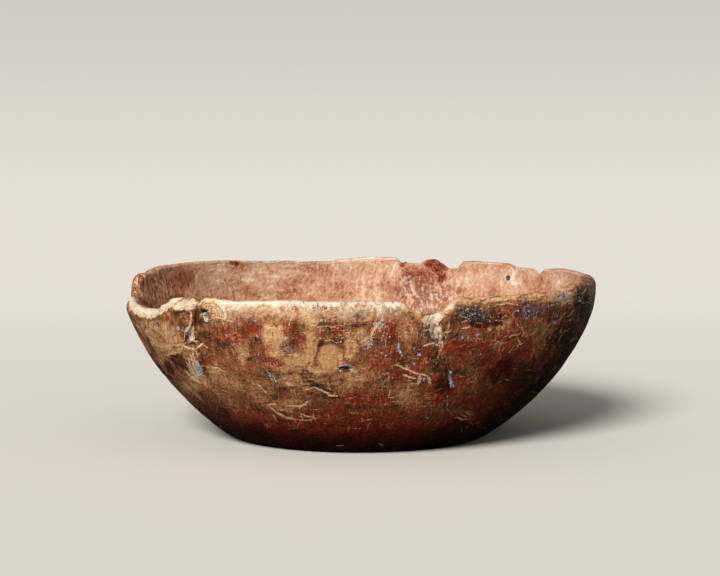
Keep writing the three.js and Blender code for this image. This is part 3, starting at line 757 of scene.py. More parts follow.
# Kinds of mark on the outer wall, as ovals: shares of warp and wobble, then the edge where it isn't plain
OUTER_OVALS = {
    "red": (RED_PATCHES, 0.65, 0, 0.2, 1.45),
    "ochre": (OCHRE_PATCHES, 0.4, 0),
    "facet": (FACET_PATCHES, 0.08, 0, 0.8, 1.08),
    "soot": (SOOT_AND_SHADE_PATCHES, 1, 0),
    "lilac": (LILAC_PATCHES, 1, 0),
    "chalk": (CHALK_PATCHES, 0.15, 1, 0.4, 1.3),
    "cream": (CREAM_PATCHES, 0.15, 1, 0.65, 1.15),
    "blue": (BLUE_FLECKS, 0, 1, 0.5, 1.25),
}
# The same for lines
OUTER_LINES = {
    "ochre": (OCHRE_STROKES, 0, 1, 1.2, 0.3),
    "cream": (CREAM_STROKES, 0, 1, 0.8),
    "rim": (RIM_STROKES, 0.3, 0, 2.8, 0.2),
    "pale": (PALE_STROKES + fold_strokes() + strewn(STREWN_PALE), 0, 1),
    "blue": (BLUE_STROKES + strewn(STREWN_BLUE), 0, 1),
    "dark": (DARK_STROKES + lobe_strokes() + strewn(STREWN_DARK), 0, 1),
}

# Tones of the inner wall, as ovals in pixels. The stain ovals also hold painted shade beside the horn and
# under the burr.
STAIN_AND_SHADE_PATCHES = [
    (142, 287, 4, 14, 0, 1.2), (184, 276, 8, 14, 10, 0.6), (146, 305, 12, 5, 0, 0.8),
    (172, 298, 16, 5, 0, 0.4), (416, 276, 12, 4, 10, 0.9), (202, 284, 15, 15, 0, 0.15),
    (160, 272, 14, 4, -14, 0.3), (176, 284, 5, 16, 6, 0.35),
]
ROSE_PATCHES = [
    (206, 288, 16, 14, 0, 0.5), (194, 274, 14, 12, 0, 0.5), (284, 291, 16, 10, -10, 1.3),
    (265, 271, 12, 6, 0, 0.6), (348, 290, 12, 14, 6, 0.6), (368, 284, 4, 14, 4, 0.7),
    (395, 284, 12, 18, 10, 0.45), (420, 290, 24, 16, 0, 0.7), (568, 278, 18, 10, 0, 0.35),
    (540, 287, 14, 8, 0, 0.3), (306, 276, 14, 6, -20, 0.35), (250, 292, 20, 6, 0, 0.4),
]
# The wide salmon oval at (206, 284) is painted light: it lifts the left inner wall, which faces away from
# the lamp
SALMON_PATCHES = [
    (480, 280, 34, 16, 0, 0.42), (520, 278, 22, 12, 0, 0.45), (246, 274, 20, 7, 0, 0.8),
    (384, 290, 10, 10, 0, 0.5), (210, 268, 16, 6, 0, 0.5), (206, 284, 20, 14, 0, 0.9),
    (315, 282, 40, 14, 0, 0.35), (149, 290, 3, 8, 0, 0.8), (154, 276, 2.5, 8, 0, 0.9),
    (225, 290, 12, 10, 0, 0.3), (470, 268, 20, 4, 0, 0.5), (572, 280, 22, 10, 0, 0.4),
]
ASH_PATCHES = [
    (420, 290, 28, 20, 0, 1.0), (446, 294, 18, 18, 0, 0.9), (425, 308, 30, 8, 0, 0.9),
    (230, 284, 18, 14, 0, 0.4), (320, 268, 30, 6, 0, 0.5), (372, 288, 18, 12, 0, 0.4),
]
BURR_PATCHES = [
    (435, 266, 12, 8, 0, 1.3), (441, 275, 8, 6, 0, 1.0), (405, 265, 4, 3, 0, 0.9),
    (426, 276, 11, 6, 0, 0.7), (412, 269, 10, 5, 0, 0.55), (235, 262, 8, 2.5, 0, 1.0),
]
# Where the inner wall is flecked dark and pale
MOTTLE_PATCHES = [
    (156, 288, 28, 24, 0, 0.9), (250, 276, 50, 14, 0, 0.2),
]
# Pale scars and dark pits of the inner wall, as lines in pixels, with painted shadow under the burr and
# painted shade beside the horn
SCAR_STROKES = [
    (2, 0.8, [(511, 266), (514, 272), (511, 279), (515, 284), (521, 283)]),
    (1.6, 0.6, [(516, 267), (518, 273)]), (1.5, 0.5, [(449, 268), (452, 280), (451, 292)]),
    (1.4, 0.5, [(466, 272), (468, 284)]), (1.6, 0.5, [(396, 270), (391, 286)]),
    (3, 0.8, [(338, 261), (362, 259.5), (380, 258.6), (397, 258.6)]), (2, 0.5, [(546, 271), (575, 272)]),
    (1.6, 0.5, [(466, 262.5), (490, 263)]), (2.4, 0.7, [(396, 262), (392, 272), (390, 280)]),
    (1.6, 0.6, [(428, 283), (432, 292), (428, 300)]), (1.5, 0.6, [(438, 290), (444, 296), (440, 303)]),
]
PIT_AND_SHADE_STROKES = [
    # The first line here is painted shadow under the burr; the line after this one is painted shade beside
    # the horn
    (2, 0.9, [(403, 275), (413, 275.5), (421, 281)]), (1.6, 0.7, [(421, 279), (425, 290), (424, 300)]),
    (2, 0.8, [(143, 280), (141.6, 288), (144, 296)]),
]
INNER_BOX = (130, 258, 590, 315)
STREWN_SCARS = [
    (150, INNER_BOX, (3, 10), (0.8, 1.5), (60, 125), (0.2, 0.5), 131),
    (60, (200, 262, 300, 300), (4, 14), (0.8, 1.8), (-20, 10), (0.3, 0.6), 137),
    (40, (140, 268, 200, 306), (2, 7), (0.8, 1.5), (60, 110), (0.5, 0.9), 141),
    (80, (402, 274, 452, 308), (2, 7), (0.8, 1.5), (30, 150), (0.4, 0.9), 157),
]
STREWN_PITS = [
    (120, INNER_BOX, (2, 8), (0.8, 1.6), (60, 125), (0.2, 0.6), 139),
    (60, (138, 266, 176, 310), (1, 5), (1.0, 2.0), (30, 150), (0.4, 0.9), 149),
    (70, (402, 268, 452, 308), (1, 6), (0.9, 1.8), (0, 180), (0.4, 0.9), 151),
]
# Growth rings that show on the inner wall as arcs round the burr: reaches in pixels, width, strength
RING_MIDDLE = np.array([428, 290])
RING_HEIGHTS = np.array([262, 272, 282, 292, 303])
DARK_RINGS = ((46, 56, 61, 69, 73, 86, 103), 2.2, 0.26)
PALE_RINGS = ((52, 58, 66, 71, 80, 95), 1.8, 0.22)


def ring_strokes(reaches, width, strength):
    strokes = []
    for reach in reaches:
        across = RING_MIDDLE[0] - np.sqrt(reach**2 - (RING_HEIGHTS - RING_MIDDLE[1]) ** 2)
        strokes.append((width, strength, np.stack([across, RING_HEIGHTS], -1)))
    return strokes


# Kinds of mark on the inner wall, as on the outer one
INNER_OVALS = {
    "stain": (STAIN_AND_SHADE_PATCHES, 0.6, 0),
    "rose": (ROSE_PATCHES, 0.6, 0),
    "salmon": (SALMON_PATCHES, 0.6, 0),
    "ash": (ASH_PATCHES, 0.6, 0),
    "burr": (BURR_PATCHES, 0.35, 0, 0.3, 1.3),
    "mottle": (MOTTLE_PATCHES, 0.6, 0, 0.0, 1.7),
}
INNER_LINES = {
    "scar": (SCAR_STROKES + strewn(STREWN_SCARS) + ring_strokes(*PALE_RINGS), 0, 1),
    "pit": (PIT_AND_SHADE_STROKES + strewn(STREWN_PITS) + ring_strokes(*DARK_RINGS), 0, 1),
}

# Relief of the surface, along its normals, in millimetres

# Steps to a neighbour on the wall, in degrees and as a share of its curve
TURN_STEP, SHARE_STEP = 0.5, 0.01
# How far from the wall the pockets and the flight hole reach
POCKET_REACH, HOLE_REACH = 12, 6
# Shares of the flight hole's diameter between which its wall falls, and radii between which its shade fades
HOLE_EDGE, HOLE_SHADE = (0.3, 0.62), (1.4, 2.3)
# Unevenness of the surface: height, size and seed of broad and small hewing and of roughness
BROAD_HEWING, SMALL_HEWING, ROUGH_LUMPS = (1.3, 34, 11), (0.5, 9, 17), (0.5, 3.2, 23)
# Shares of hewing and roughness on the outer wall, inside and on the rim
OUTER_UNEVEN, INNER_UNEVEN, RIM_UNEVEN = (0.75, 0.3), (0.8, 0.35), (0.35, 0.6)
FACET_DEPTH, PALE_DEPTH, DARK_DEPTH, PIT_DEPTH = 0.4, 0.2, 0.25, 0.25
# The burr's mean rise, and height, size and seed of its lumps
BURR_RISE, BURR_LUMP, BURR_LUMP_SIZE, BURR_SEED = 0.5, 3, 5, 31
# Height over which the wall's unevenness sets in above the sole
SOLE_EDGE = 9.0


def wall_frame(bend, azimuth, drop):
    """A point of the wall below the mean rim, and the directions round, up and out from it."""
    share = share_at(bend, RIM_HEIGHT - drop)
    point = wall_point(bend, np.float64(azimuth), share)
    round_step = wall_point(bend, np.float64(azimuth + TURN_STEP), share) - point
    slope_step = wall_point(bend, np.float64(azimuth), share + SHARE_STEP) - point
    along = round_step / np.linalg.norm(round_step)
    out = np.cross(along, slope_step)
    out /= np.linalg.norm(out)
    return point, along, np.cross(out, along), out


def pocket_depths(points):
    """How deep the bark pockets are at each point."""
    depth = np.zeros(points.shape[:-1])
    for azimuth, drop, length, width, deep, lean in BARK_POCKETS.values():
        centre, along, up, out = wall_frame(OUTER, azimuth, drop)
        offset = points - centre
        c, s = math.cos(lean * RADIANS), math.sin(lean * RADIANS)
        du, dv = offset @ along, offset @ up
        far = np.hypot((du * c - dv * s) * 2 / width, (dv * c + du * s) * 2 / length)
        near = np.abs(offset @ out) < POCKET_REACH
        depth = np.maximum(depth, near * deep * np.sqrt(np.clip(1 - far**2, 0, 1)))
    return depth


def hole_mask(points, core, rest):
    """Whether a point is in the flight hole, with an edge between two radii."""
    azimuth, drop, _, _ = FLIGHT_HOLE
    centre, along, up, out = wall_frame(INNER, azimuth, drop)
    offset = points - centre
    far = np.hypot(offset @ along, offset @ up)
    return (np.abs(offset @ out) < HOLE_REACH) * (1 - smoothstep(far, core, rest))


# Lips of the fold and cleft, and the cleft between, as lines in pixels: width, height, route
LIPS = [
    (5, 0.9, [(200.7, 304), (206, 300), (215, 301), (223, 306.4), (226, 312.4), (225.4, 320)]),
    (4.5, 0.8, [(198, 307), (192, 318), (188, 330), (184.5, 341)]),
    (4, 0.7, [(201, 316), (199, 326), (201, 338)]),
    (3.4, 0.8, [(188, 343), (192, 340), (198, 341), (201, 345.5), (196, 349), (190, 347)]),
    (4, 0.6, [(172, 353.4), (182, 350.4), (190, 348.6)]), (4, 0.6, [(196, 351), (199, 366), (202, 384)]),
]
CLEFT = [(2.4, 1.3, [(197, 305), (194.4, 318), (191.4, 330), (190, 341)])]
LIP_SOFT, CLEFT_SOFT = 1.2, 0.8


def lumps(points, rise, size, seed):
    return rise * cloud(points, size, seed, 2)


def relief(points, zone, drawn, masks, turned):
    """How far each point is raised, by hewing, carved marks, pockets and the burr."""
    outer = rows_in(zone, "outer") * smoothstep(points[..., 2], 0, SOLE_EDGE)
    wall = rows_in(zone, "outer", "bevel")
    rim = rows_in(zone, "bevel", "top")
    inner = rows_in(zone, "inner", "floor")
    hewn = lumps(points, *BROAD_HEWING) + lumps(points, *SMALL_HEWING)
    rough = lumps(points, *ROUGH_LUMPS)
    height = 0
    for where, shares in ((outer, OUTER_UNEVEN), (inner, INNER_UNEVEN), (rim, RIM_UNEVEN)):
        height = height + where * (shares[0] * hewn + shares[1] * rough)
    lips = stroke_mask(drawn, LIPS, LIP_SOFT) - stroke_mask(drawn, CLEFT, CLEFT_SOFT)
    height = height + wall * ~turned * lips - wall * FACET_DEPTH * masks["facet"]
    scratches = PALE_DEPTH * masks["pale"] + DARK_DEPTH * masks["dark"]
    height = height - outer * (pocket_depths(points) + scratches)
    _, _, diameter, deep = FLIGHT_HOLE
    hole = deep * hole_mask(points, *(diameter * share for share in HOLE_EDGE))
    height = height - inner * (hole + PIT_DEPTH * masks["pit"])
    return height + masks["burr"] * (BURR_RISE + BURR_LUMP * cloud(points, BURR_LUMP_SIZE, BURR_SEED))


# The skin: one closed mesh with its masks as point attributes

def grid_faces(rows, columns):
    """Quads of the grid and the two fans that close it at the sole and floor."""
    r, c = np.meshgrid(np.arange(rows - 1), np.arange(columns), indexing="ij")
    n = (c + 1) % columns
    quads = np.stack([r * columns + c, r * columns + n, (r + 1) * columns + n, (r + 1) * columns + c], -1)
    ring = np.arange(columns)
    after = (ring + 1) % columns
    last = (rows - 1) * columns
    sole_middle, floor_middle = rows * columns, rows * columns + 1
    sole = np.stack([np.full(columns, sole_middle), after, ring], -1)
    floor = np.stack([np.full(columns, floor_middle), last + ring, last + after], -1)
    return quads.reshape(-1, 4), sole, floor


# Strips of the layout that the colours are baked to, as low and high edges, the gap at their ends,
# and the discs of the sole and floor
FRONT_STRIP, BACK_STRIP, INNER_STRIP = (0.002, 0.33), (0.335, 0.663), (0.668, 0.862)
STRIP_GAP = 0.002
DISC_REACH, SOLE_DISC, FLOOR_DISC = 0.064, (0.07, 0.932), (0.21, 0.932)


def bake_layout(azimuth, points, zone):
    """Places of all corners in the layout: two strips of outer wall, one of inner wall, and two discs."""
    rows, columns = points.shape[:2]
    front = int(np.searchsorted(azimuth, FRONT_TO))
    sole_rows = int((zone == "sole").sum())
    floor_row = int(np.flatnonzero(zone == "floor")[0]) - 1
    inner_row = int(np.flatnonzero(zone == "inner")[0])
    r, c = np.meshgrid(np.arange(rows - 1), np.arange(columns), indexing="ij")
    corner_r = np.stack([r, r, r + 1, r + 1], -1)
    corner_c = np.stack([c, c + 1, c + 1, c], -1)

    def strip(first, last, low, high, from_column, to_column):
        u = lerp(STRIP_GAP, 1 - STRIP_GAP, (corner_c - from_column) / (to_column - from_column))
        v = lerp(low, high, (corner_r - first) / (last - first))
        return np.stack([u, v], -1)

    def disc(middle, ring_places, edge):
        centre = edge.mean(0)[:2]
        reach = np.abs(edge[:, :2] - centre).max()
        return np.array(middle) + DISC_REACH * ((ring_places[..., :2] - centre) / reach)

    corner_places = points[corner_r, corner_c % columns]
    parts = [
        (c >= front, strip(sole_rows, inner_row, *BACK_STRIP, front, columns)),
        (r >= inner_row, strip(inner_row, floor_row, *INNER_STRIP, 0, columns)),
        (r < sole_rows, disc(SOLE_DISC, corner_places, points[sole_rows])),
        (r >= floor_row, disc(FLOOR_DISC, corner_places, points[floor_row])),
    ]
    layout = strip(sole_rows, inner_row, *FRONT_STRIP, 0, front)
    for where, part in parts:
        layout = np.where(where[..., None, None], part, layout)
    ring, after = points[0], np.roll(points[0], -1, 0)
    sole_fan = disc(SOLE_DISC, np.stack([0 * ring + ring.mean(0), after, ring], 1), points[sole_rows])
    ring, after = points[-1], np.roll(points[-1], -1, 0)
    floor_fan = disc(FLOOR_DISC, np.stack([0 * ring + ring.mean(0), ring, after], 1), points[floor_row])
    return np.concatenate([layout.reshape(-1, 2), sole_fan.reshape(-1, 2), floor_fan.reshape(-1, 2)])


def skin_mesh(points, masks, vectors, layout):
    """The closed mesh, with masks and vectors as attributes of its points."""
    rows, columns = points.shape[:2]
    ends = np.array([points[0].mean(0), points[-1].mean(0)])
    places = np.concatenate([points.reshape(-1, 3), ends])
    quads, sole, floor = grid_faces(rows, columns)
    loops = np.concatenate([quads.ravel(), sole.ravel(), floor.ravel()])
    sizes = np.concatenate([np.full(len(quads), 4), np.full(len(sole) + len(floor), 3)])
    mesh = bpy.data.meshes.new("root_bowl")
    mesh.vertices.add(len(places))
    mesh.vertices.foreach_set("co", (places * MM).ravel())
    mesh.loops.add(len(loops))
    mesh.loops.foreach_set("vertex_index", loops)
    mesh.polygons.add(len(sizes))
    mesh.polygons.foreach_set("loop_start", np.concatenate([[0], np.cumsum(sizes)[:-1]]))
    mesh.update(calc_edges=True)
    mesh.polygons.foreach_set("use_smooth", np.ones(len(sizes), bool))
    mesh.uv_layers.new(name="OFBake").uv.foreach_set("vector", layout.astype(np.float32).ravel())
    for name, mask in masks.items():
        whole = np.broadcast_to(mask, (rows, columns))
        values = np.concatenate([whole.ravel(), [whole[0].mean(), whole[-1].mean()]])
        mesh.attributes.new(name, "FLOAT", "POINT").data.foreach_set("value", values.astype(np.float32))
    for name, vector in vectors.items():
        wrapped = np.concatenate([vector.reshape(-1, 3), [vector[0].mean(0), vector[-1].mean(0)]]) * MM
        mesh.attributes.new(name, "FLOAT_VECTOR", "POINT").data.foreach_set("vector", wrapped.ravel())
    return mesh


# How far the grain and the knife marks lean as they run up the wall, outside and inside
GRAIN_LEAN = (0.0, 0.2)
KNIFE_LEAN = (0.55, -0.7)
# Sets the inside's grain apart from that of the outside
INSIDE_SHIFT = 500


def wrap_coordinates(azimuth, points, zone, lean):
    """The surface unrolled: round the bowl, and up its section as height from the sole or the floor."""
    steps = np.linalg.norm(np.diff(points, axis=0), axis=-1)
    slope = np.concatenate([[0 * points[0, :, 0]], np.cumsum(steps, 0)])
    inside = rows_in(zone, "inner", "floor")
    slope = np.where(inside, slope[-1] - slope, slope)
    turn = azimuth * RADIANS - np.where(inside, lean[1], lean[0]) * slope / MEAN_RADIUS
    level = inside | rows_in(zone, "sole")
    reach = np.where(level, np.hypot(points[..., 0], points[..., 1]), MEAN_RADIUS)
    return np.stack([reach * np.cos(turn), reach * np.sin(turn), slope + INSIDE_SHIFT * inside], -1)


# How much red, and how much of the dark smudges and painted shade, the seam between the two sets of marks
# has
SEAM_TONES = {"red": 0.55, "soot": 0.6}
# Marks that aren't repeated on the unseen halves
SEEN_ONLY = ("cream", "rim", "facet", "burr", "scar", "pit")
# How strongly, how far down and how raggedly the rim is worn behind
BACK_WEAR, BACK_WEAR_DROP, BACK_WEAR_STRAY = 0.7, 9.0, 0.5
# Offsets of marks: amount in pixels, size of the lumps, seeds across and down, octaves
WARP = (18, 13, (41, 47), 4)
WOBBLE = (2.0, 4, (53, 59), 3)
# How dark the painted shade in the flight hole is
HOLE_DARKNESS = 1.3
# Heights between which the darkening near the sole fades out; it is partly darker wood and partly painted
# shade on the lower wall
LOW_FROM, LOW_TO = 2, 30


def stray(points, amount, size, seeds, octaves):
    """Random offsets across and down, smooth over that size."""
    return amount * np.stack([cloud(points, size, seed, octaves) for seed in seeds], -1)


def skin_masks(points, zone, place, fade, turned, wobble):
    """All masks of the skin, each kept to the side and the half of the bowl where it belongs."""
    inside = rows_in(zone, "inner", "floor")
    bare = inside | (rows_in(zone, "top") & (points[..., 1] > 0))
    warp = stray(points, *WARP)
    outer = mark_masks(place, warp, wobble, OUTER_OVALS, OUTER_LINES)
    masks = {name: mask * ~inside * fade for name, mask in outer.items()}
    for name, tone in SEAM_TONES.items():
        masks[name] = np.maximum(masks[name], tone * (1 - fade) * ~inside)
    for name, mask in mark_masks(place, warp, wobble, INNER_OVALS, INNER_LINES).items():
        masks[name] = mask * bare * fade
    for name in SEEN_ONLY:
        masks[name] = masks[name] * ~turned
    drop = points[..., 2].max(0) - points[..., 2] + BACK_WEAR_STRAY * warp[..., 0]
    back_wear = BACK_WEAR * (1 - smoothstep(drop, 0, BACK_WEAR_DROP))
    masks["rim"] = np.maximum(masks["rim"], back_wear * turned * ~inside)
    masks["inside"] = bare * 1.0
    # Painted shade in the flight hole
    masks["dark"] = np.maximum(masks["dark"], HOLE_DARKNESS * inside * hole_mask(points, *HOLE_SHADE))
    # Darker towards the sole: partly darker wood, partly painted shade
    masks["low"] = (1 - smoothstep(points[..., 2], LOW_FROM, LOW_TO)) * ~inside
    return masks


def make_skin():
    azimuth, points, zone = bowl_grid()
    place, fade, turned = mark_places(points, zone)
    wobble = stray(points, *WOBBLE)
    masks = skin_masks(points, zone, place, fade, turned, wobble)
    vectors = {
        "wrap": wrap_coordinates(azimuth, points, zone, GRAIN_LEAN),
        "slant": wrap_coordinates(azimuth, points, zone, KNIFE_LEAN),
    }
    rise = relief(points, zone, place + wobble, masks, turned)
    raised = points + grid_normals(points) * rise[..., None]
    raised[..., 2] = np.maximum(raised[..., 2], 0)
    layout = bake_layout(azimuth, points, zone)
    skin = bpy.data.objects.new("root_bowl", skin_mesh(raised, masks, vectors, layout))
    bpy.context.scene.collection.objects.link(skin)
    return skin


# Material

def srgb(red, green, blue):
    """A colour as read off a screen, 0 to 255, in linear light."""
    parts = [c / 255 for c in (red, green, blue)]
    return [c / 12.92 if c <= 0.04045 else ((c + 0.055) / 1.055) ** 2.4 for c in parts] + [1.0]


BARK = srgb(66, 40, 25)
UMBER = srgb(112, 70, 44)
SIENNA = srgb(166, 113, 74)
OCHRE = srgb(210, 160, 110)
STRAW = srgb(233, 193, 146)
MAROON = srgb(64, 15, 8)
DEEP_RED = srgb(114, 29, 18)
WORN_RED = srgb(158, 62, 42)
# Black of smudges, also painted as shade on the lower wall, the right side, in the flight hole, between the
# knife facets and beside the horn
SOOT_AND_SHADE = srgb(30, 17, 9)
LILAC = srgb(134, 130, 126)
CREAM = srgb(242, 228, 208)
HAY = srgb(186, 144, 102)
WHEAT = srgb(224, 196, 164)
DUN = srgb(174, 148, 120)
PALE_WOOD = srgb(240, 206, 160)
BLUE = srgb(76, 126, 166)
PALE_BLUE = srgb(200, 212, 218)
CHALK_GREY = srgb(86, 112, 128)
CHALK_PALE = srgb(172, 188, 194)
INNER_DARK = srgb(96, 54, 36)
INNER_ROSE = srgb(156, 96, 70)
INNER_TAN = srgb(184, 140, 110)
INNER_SALMON = srgb(204, 170, 144)
INNER_PALE = srgb(232, 212, 194)
# Stain, also painted as shade beside the horn and under the burr
STAIN_AND_SHADE = srgb(122, 62, 36)
FLECK_DARK = srgb(74, 40, 22)
FLECK_BROWN = srgb(190, 124, 76)
FLECK_PALE = srgb(250, 214, 170)
ASH_DARK = srgb(104, 68, 54)
ASH = srgb(154, 114, 96)
ASH_PALE = srgb(214, 184, 164)
BURR_DARK = srgb(60, 22, 14)
BURR_RED = srgb(140, 52, 32)

# Below this value a worn mask fades to nothing, so that grain alone never shows a coat
WORN_FOOT = 0.25
# How far the grain strays from straight lines, and over what size, in metres
GRAIN_STRAY, GRAIN_STRAY_SIZE = 0.006, 0.012
ROUGHNESS, ROUGHNESS_SPREAD = 0.4, 0.25
SHEEN = 0.07
BUMP_STRENGTH, BUMP_HEIGHT = 0.7, 0.0006


class Nodes:
    """Short forms of the nodes that a material is made of. Grains and masks can be given by name."""

    def __init__(self, tree):
        self.tree = tree
        self.grain = {}

    def add(self, kind, **settings):
        node = self.tree.nodes.new(kind)
        for name, value in settings.items():
            setattr(node, name, value)
        return node

    def attribute(self, name, output="Fac"):
        return self.add("ShaderNodeAttribute", attribute_name=name).outputs[output]

    def feed(self, socket, value):
        """Links a socket to another or to a named grain or mask, or sets it to a constant."""
        if isinstance(value, str):
            value = self.grain[value] if value in self.grain else self.attribute(value)
        if isinstance(value, bpy.types.NodeSocket):
            self.tree.links.new(value, socket)
        else:
            socket.default_value = value

    def made(self, node, output, **inputs):
        """The output of a node whose inputs, named with underscores for spaces, are fed."""
        for name, value in inputs.items():
            self.feed(node.inputs[name.replace("_", " ")], value)
        return node.outputs[output]

    def math(self, operation, a, b=0.0, c=0.0, kind="ShaderNodeMath"):
        node = self.add(kind, operation=operation)
        for socket, value in zip(node.inputs, (a, b, c)):
            self.feed(socket, value)
        return node.outputs[0]

    def part(self, value, share):
        return self.math("MULTIPLY", value, share)

    def total(self, base, **shares):
        """A base value plus shares of grains and masks."""
        for name, share in shares.items():
            base = self.math("MULTIPLY_ADD", name, share, base)
        return base

    def stretch(self, vector, scale):
        return self.math("MULTIPLY", vector, scale, (0, 0, 0), "ShaderNodeVectorMath")

    def wander(self, vector, size, amount):
        """A vector that strays by about the amount, over that size."""
        noise = self.made(self.add("ShaderNodeTexNoise"), "Color", Vector=vector, Scale=1 / size)
        return self.math("MULTIPLY_ADD", noise, (amount,) * 3, vector, "ShaderNodeVectorMath")

    def noise(self, vector, size, detail=3.0, rough=0.6, bend=0.0, spread=0.2):
        """Noise from 0 to 1, with its middle values spread out."""
        noise = self.made(
            self.add("ShaderNodeTexNoise"), "Fac",
            Vector=vector, Scale=1 / size, Detail=detail, Roughness=rough, Distortion=bend,
        )
        return self.edge(noise, 0.5 - spread, 0.5 + spread)

    def edge(self, value, low, high):
        """A smooth step from 0 to 1 between two values."""
        node = self.add("ShaderNodeMapRange", interpolation_type="SMOOTHSTEP")
        return self.made(node, "Result", Value=value, From_Min=low, From_Max=high)

    def mix(self, share, a, b):
        node = self.add("ShaderNodeMix", data_type="RGBA")
        return self.made(node, "Result", Factor=share, A=a, B=b)

    def ramp(self, value, stops):
        node = self.add("ShaderNodeValToRGB")
        line = node.color_ramp.elements
        while len(line) < len(stops):
            line.new(1.0)
        for element, (place, colour) in zip(line, stops):
            element.position = place
            element.color = colour
        return self.made(node, "Color", Fac=value)

    def worn(self, mask, grain, pull, start, full):
        """A mask that starts and is full at two values, with its edge pulled about by grain."""
        pulled = self.math("MULTIPLY_ADD", grain, pull, self.math("SUBTRACT", mask, 0.5 * pull))
        return self.part(self.edge(pulled, start, full), self.edge(mask, 0.0, WORN_FOOT))

    def coat(self, colour, over, mask, grain, pull, start, full, cover=1.0):
        """A colour under another one that covers it where a worn mask shows."""
        return self.mix(self.part(self.worn(mask, grain, pull, start, full), cover), colour, over)


def add_grain(n):
    """Noise of several sizes and stretches, in metres of the unrolled surface."""
    wrap = n.attribute("wrap", "Vector")
    bent = n.wander(wrap, GRAIN_STRAY_SIZE, GRAIN_STRAY)
    slant = n.wander(n.attribute("slant", "Vector"), GRAIN_STRAY_SIZE, GRAIN_STRAY)
    n.grain = {
        "broad": n.noise(wrap, size=0.04, spread=0.18),
        "blotch": n.noise(wrap, size=0.013, detail=5, rough=0.62, spread=0.17),
        "speck": n.noise(wrap, size=0.0026, detail=4, rough=0.7, spread=0.15),
        "grit": n.noise(wrap, size=0.0009, detail=2),
        "dust": n.noise(wrap, size=0.0012, detail=2, rough=0.5),
        "dab": n.noise(n.stretch(bent, (1, 1, 0.45)), size=0.0021, rough=0.7, spread=0.16),
        "hair": n.noise(n.stretch(bent, (1, 1, 0.12)), size=0.0011, detail=2, spread=0.17),
        "streak": n.noise(n.stretch(bent, (1, 1, 0.2)), size=0.0028, detail=4, rough=0.65, spread=0.17),
        "ring": n.noise(n.stretch(bent, (0.16, 0.16, 1)), size=0.0042, detail=5, rough=0.68, bend=0.5),
        "hatch": n.noise(n.stretch(slant, (1, 1, 0.15)), size=0.0014, spread=0.15),
    }
    wear = n.total(0.0, streak=0.1, dab=0.14, speck=0.26, blotch=0.24, ring=0.26)
    n.grain["wear"] = n.edge(wear, 0.24, 0.76)


def bare_wood(n):
    # Darker towards the sole, partly as painted shade, and where the dark smudges with painted shade lie
    tone = n.total(
        -0.3, ring=0.28, speck=0.2, dab=0.2, hair=0.1, blotch=0.3, grit=0.2,
        ochre=0.42, soot=-0.3, low=-0.25,
    )
    return n.ramp(tone, [(0.0, BARK), (0.2, UMBER), (0.45, SIENNA), (0.72, OCHRE), (1.0, STRAW)])


def painted_wood(n):
    """Red paint over bare wood, worn along the grain and scratched where it is thin."""
    # Darker towards the sole, partly as painted shade, and where the dark smudges with painted shade lie
    tone = n.total(
        -0.07, dab=0.18, speck=0.26, hair=0.1, ring=0.28, blotch=0.22, grit=0.28,
        low=-0.35, soot=-0.2,
    )
    red = n.ramp(tone, [(0.2, MAROON), (0.5, DEEP_RED), (0.85, WORN_RED)])
    left = n.total(0.0, red=1.0, ochre=-0.35, low=0.2)
    kept = n.worn(left, "wear", pull=1.4, start=0.12, full=0.72)
    scratched = n.edge(n.total(0.0, hair=0.5, speck=0.5), 0.58, 0.8)
    loss = n.math("MULTIPLY_ADD", n.edge("red", 0.6, 0.95), 0.6, n.total(-0.75, low=0.25))
    kept = n.part(n.part(kept, 0.92), n.math("MULTIPLY_ADD", scratched, loss, 1.0))
    return n.mix(kept, bare_wood(n), red)


def outer_colour(n):
    """Painted wood with knife facets, a grey bloom, black smudges with painted shade on the lower wall and
    the right side, the worn rim and pale cut faces.
    """
    cut = n.total(0.1, hair=0.3, speck=0.22, blotch=0.2)
    facet = n.ramp(cut, [(0.1, SIENNA), (0.5, OCHRE), (1.0, STRAW)])
    colour = n.mix(n.part("facet", 0.85), painted_wood(n), facet)
    colour = n.coat(colour, LILAC, "lilac", "grit", pull=1.0, start=0.3, full=1.0, cover=0.5)
    # Dark smudges, with painted shade on the lower wall and the right side, and darker towards the sole
    sooty = n.total(0.0, soot=1.05, low=0.4)
    colour = n.coat(colour, SOOT_AND_SHADE, sooty, "wear", pull=1.3, start=0.3, full=0.95, cover=0.85)
    fine = n.total(0.0, hatch=0.45, speck=0.3, ring=0.25)
    tone = n.math("MULTIPLY_ADD", fine, 0.7, n.total(-0.4, rim=1.0))
    bare = n.ramp(tone, [(0.2, DUN), (0.6, WHEAT), (0.9, CREAM)])
    soft = n.total(0.0, speck=0.4, dab=0.3, blotch=0.3)
    colour = n.coat(colour, bare, "rim", soft, pull=0.8, start=0.12, full=0.85)
    lines = n.total(0.0, ring=0.4, speck=0.3, dab=0.3)
    face = n.ramp(lines, [(0.15, HAY), (0.42, WHEAT), (0.85, CREAM)])
    return n.coat(colour, face, "cream", lines, pull=0.7, start=0.15, full=0.7)


def marked_colour(n, colour):
    """Dark cracks, painted shade in the flight hole, between the knife facets and beside the horn, pale
    scratches, and what is left of the blue and white paint.
    """
    # Cracks, and painted shade in the flight hole, between the knife facets and beside the horn
    colour = n.coat(colour, SOOT_AND_SHADE, "dark", "speck", pull=0.45, start=0.1, full=0.75, cover=0.8)
    scratch = n.mix("speck", PALE_WOOD, STRAW)
    colour = n.coat(colour, scratch, "pale", "grit", pull=0.45, start=0.1, full=0.75, cover=0.85)
    specks = n.edge(n.total(0.0, chalk=0.45, dust=0.6), 0.84, 0.96)
    colour = n.mix(n.part(specks, 0.9), colour, n.mix("grit", CHALK_GREY, CHALK_PALE))
    paint = n.mix("grit", BLUE, PALE_BLUE)
    return n.coat(colour, paint, "blue", "grit", pull=0.9, start=0.3, full=0.8)


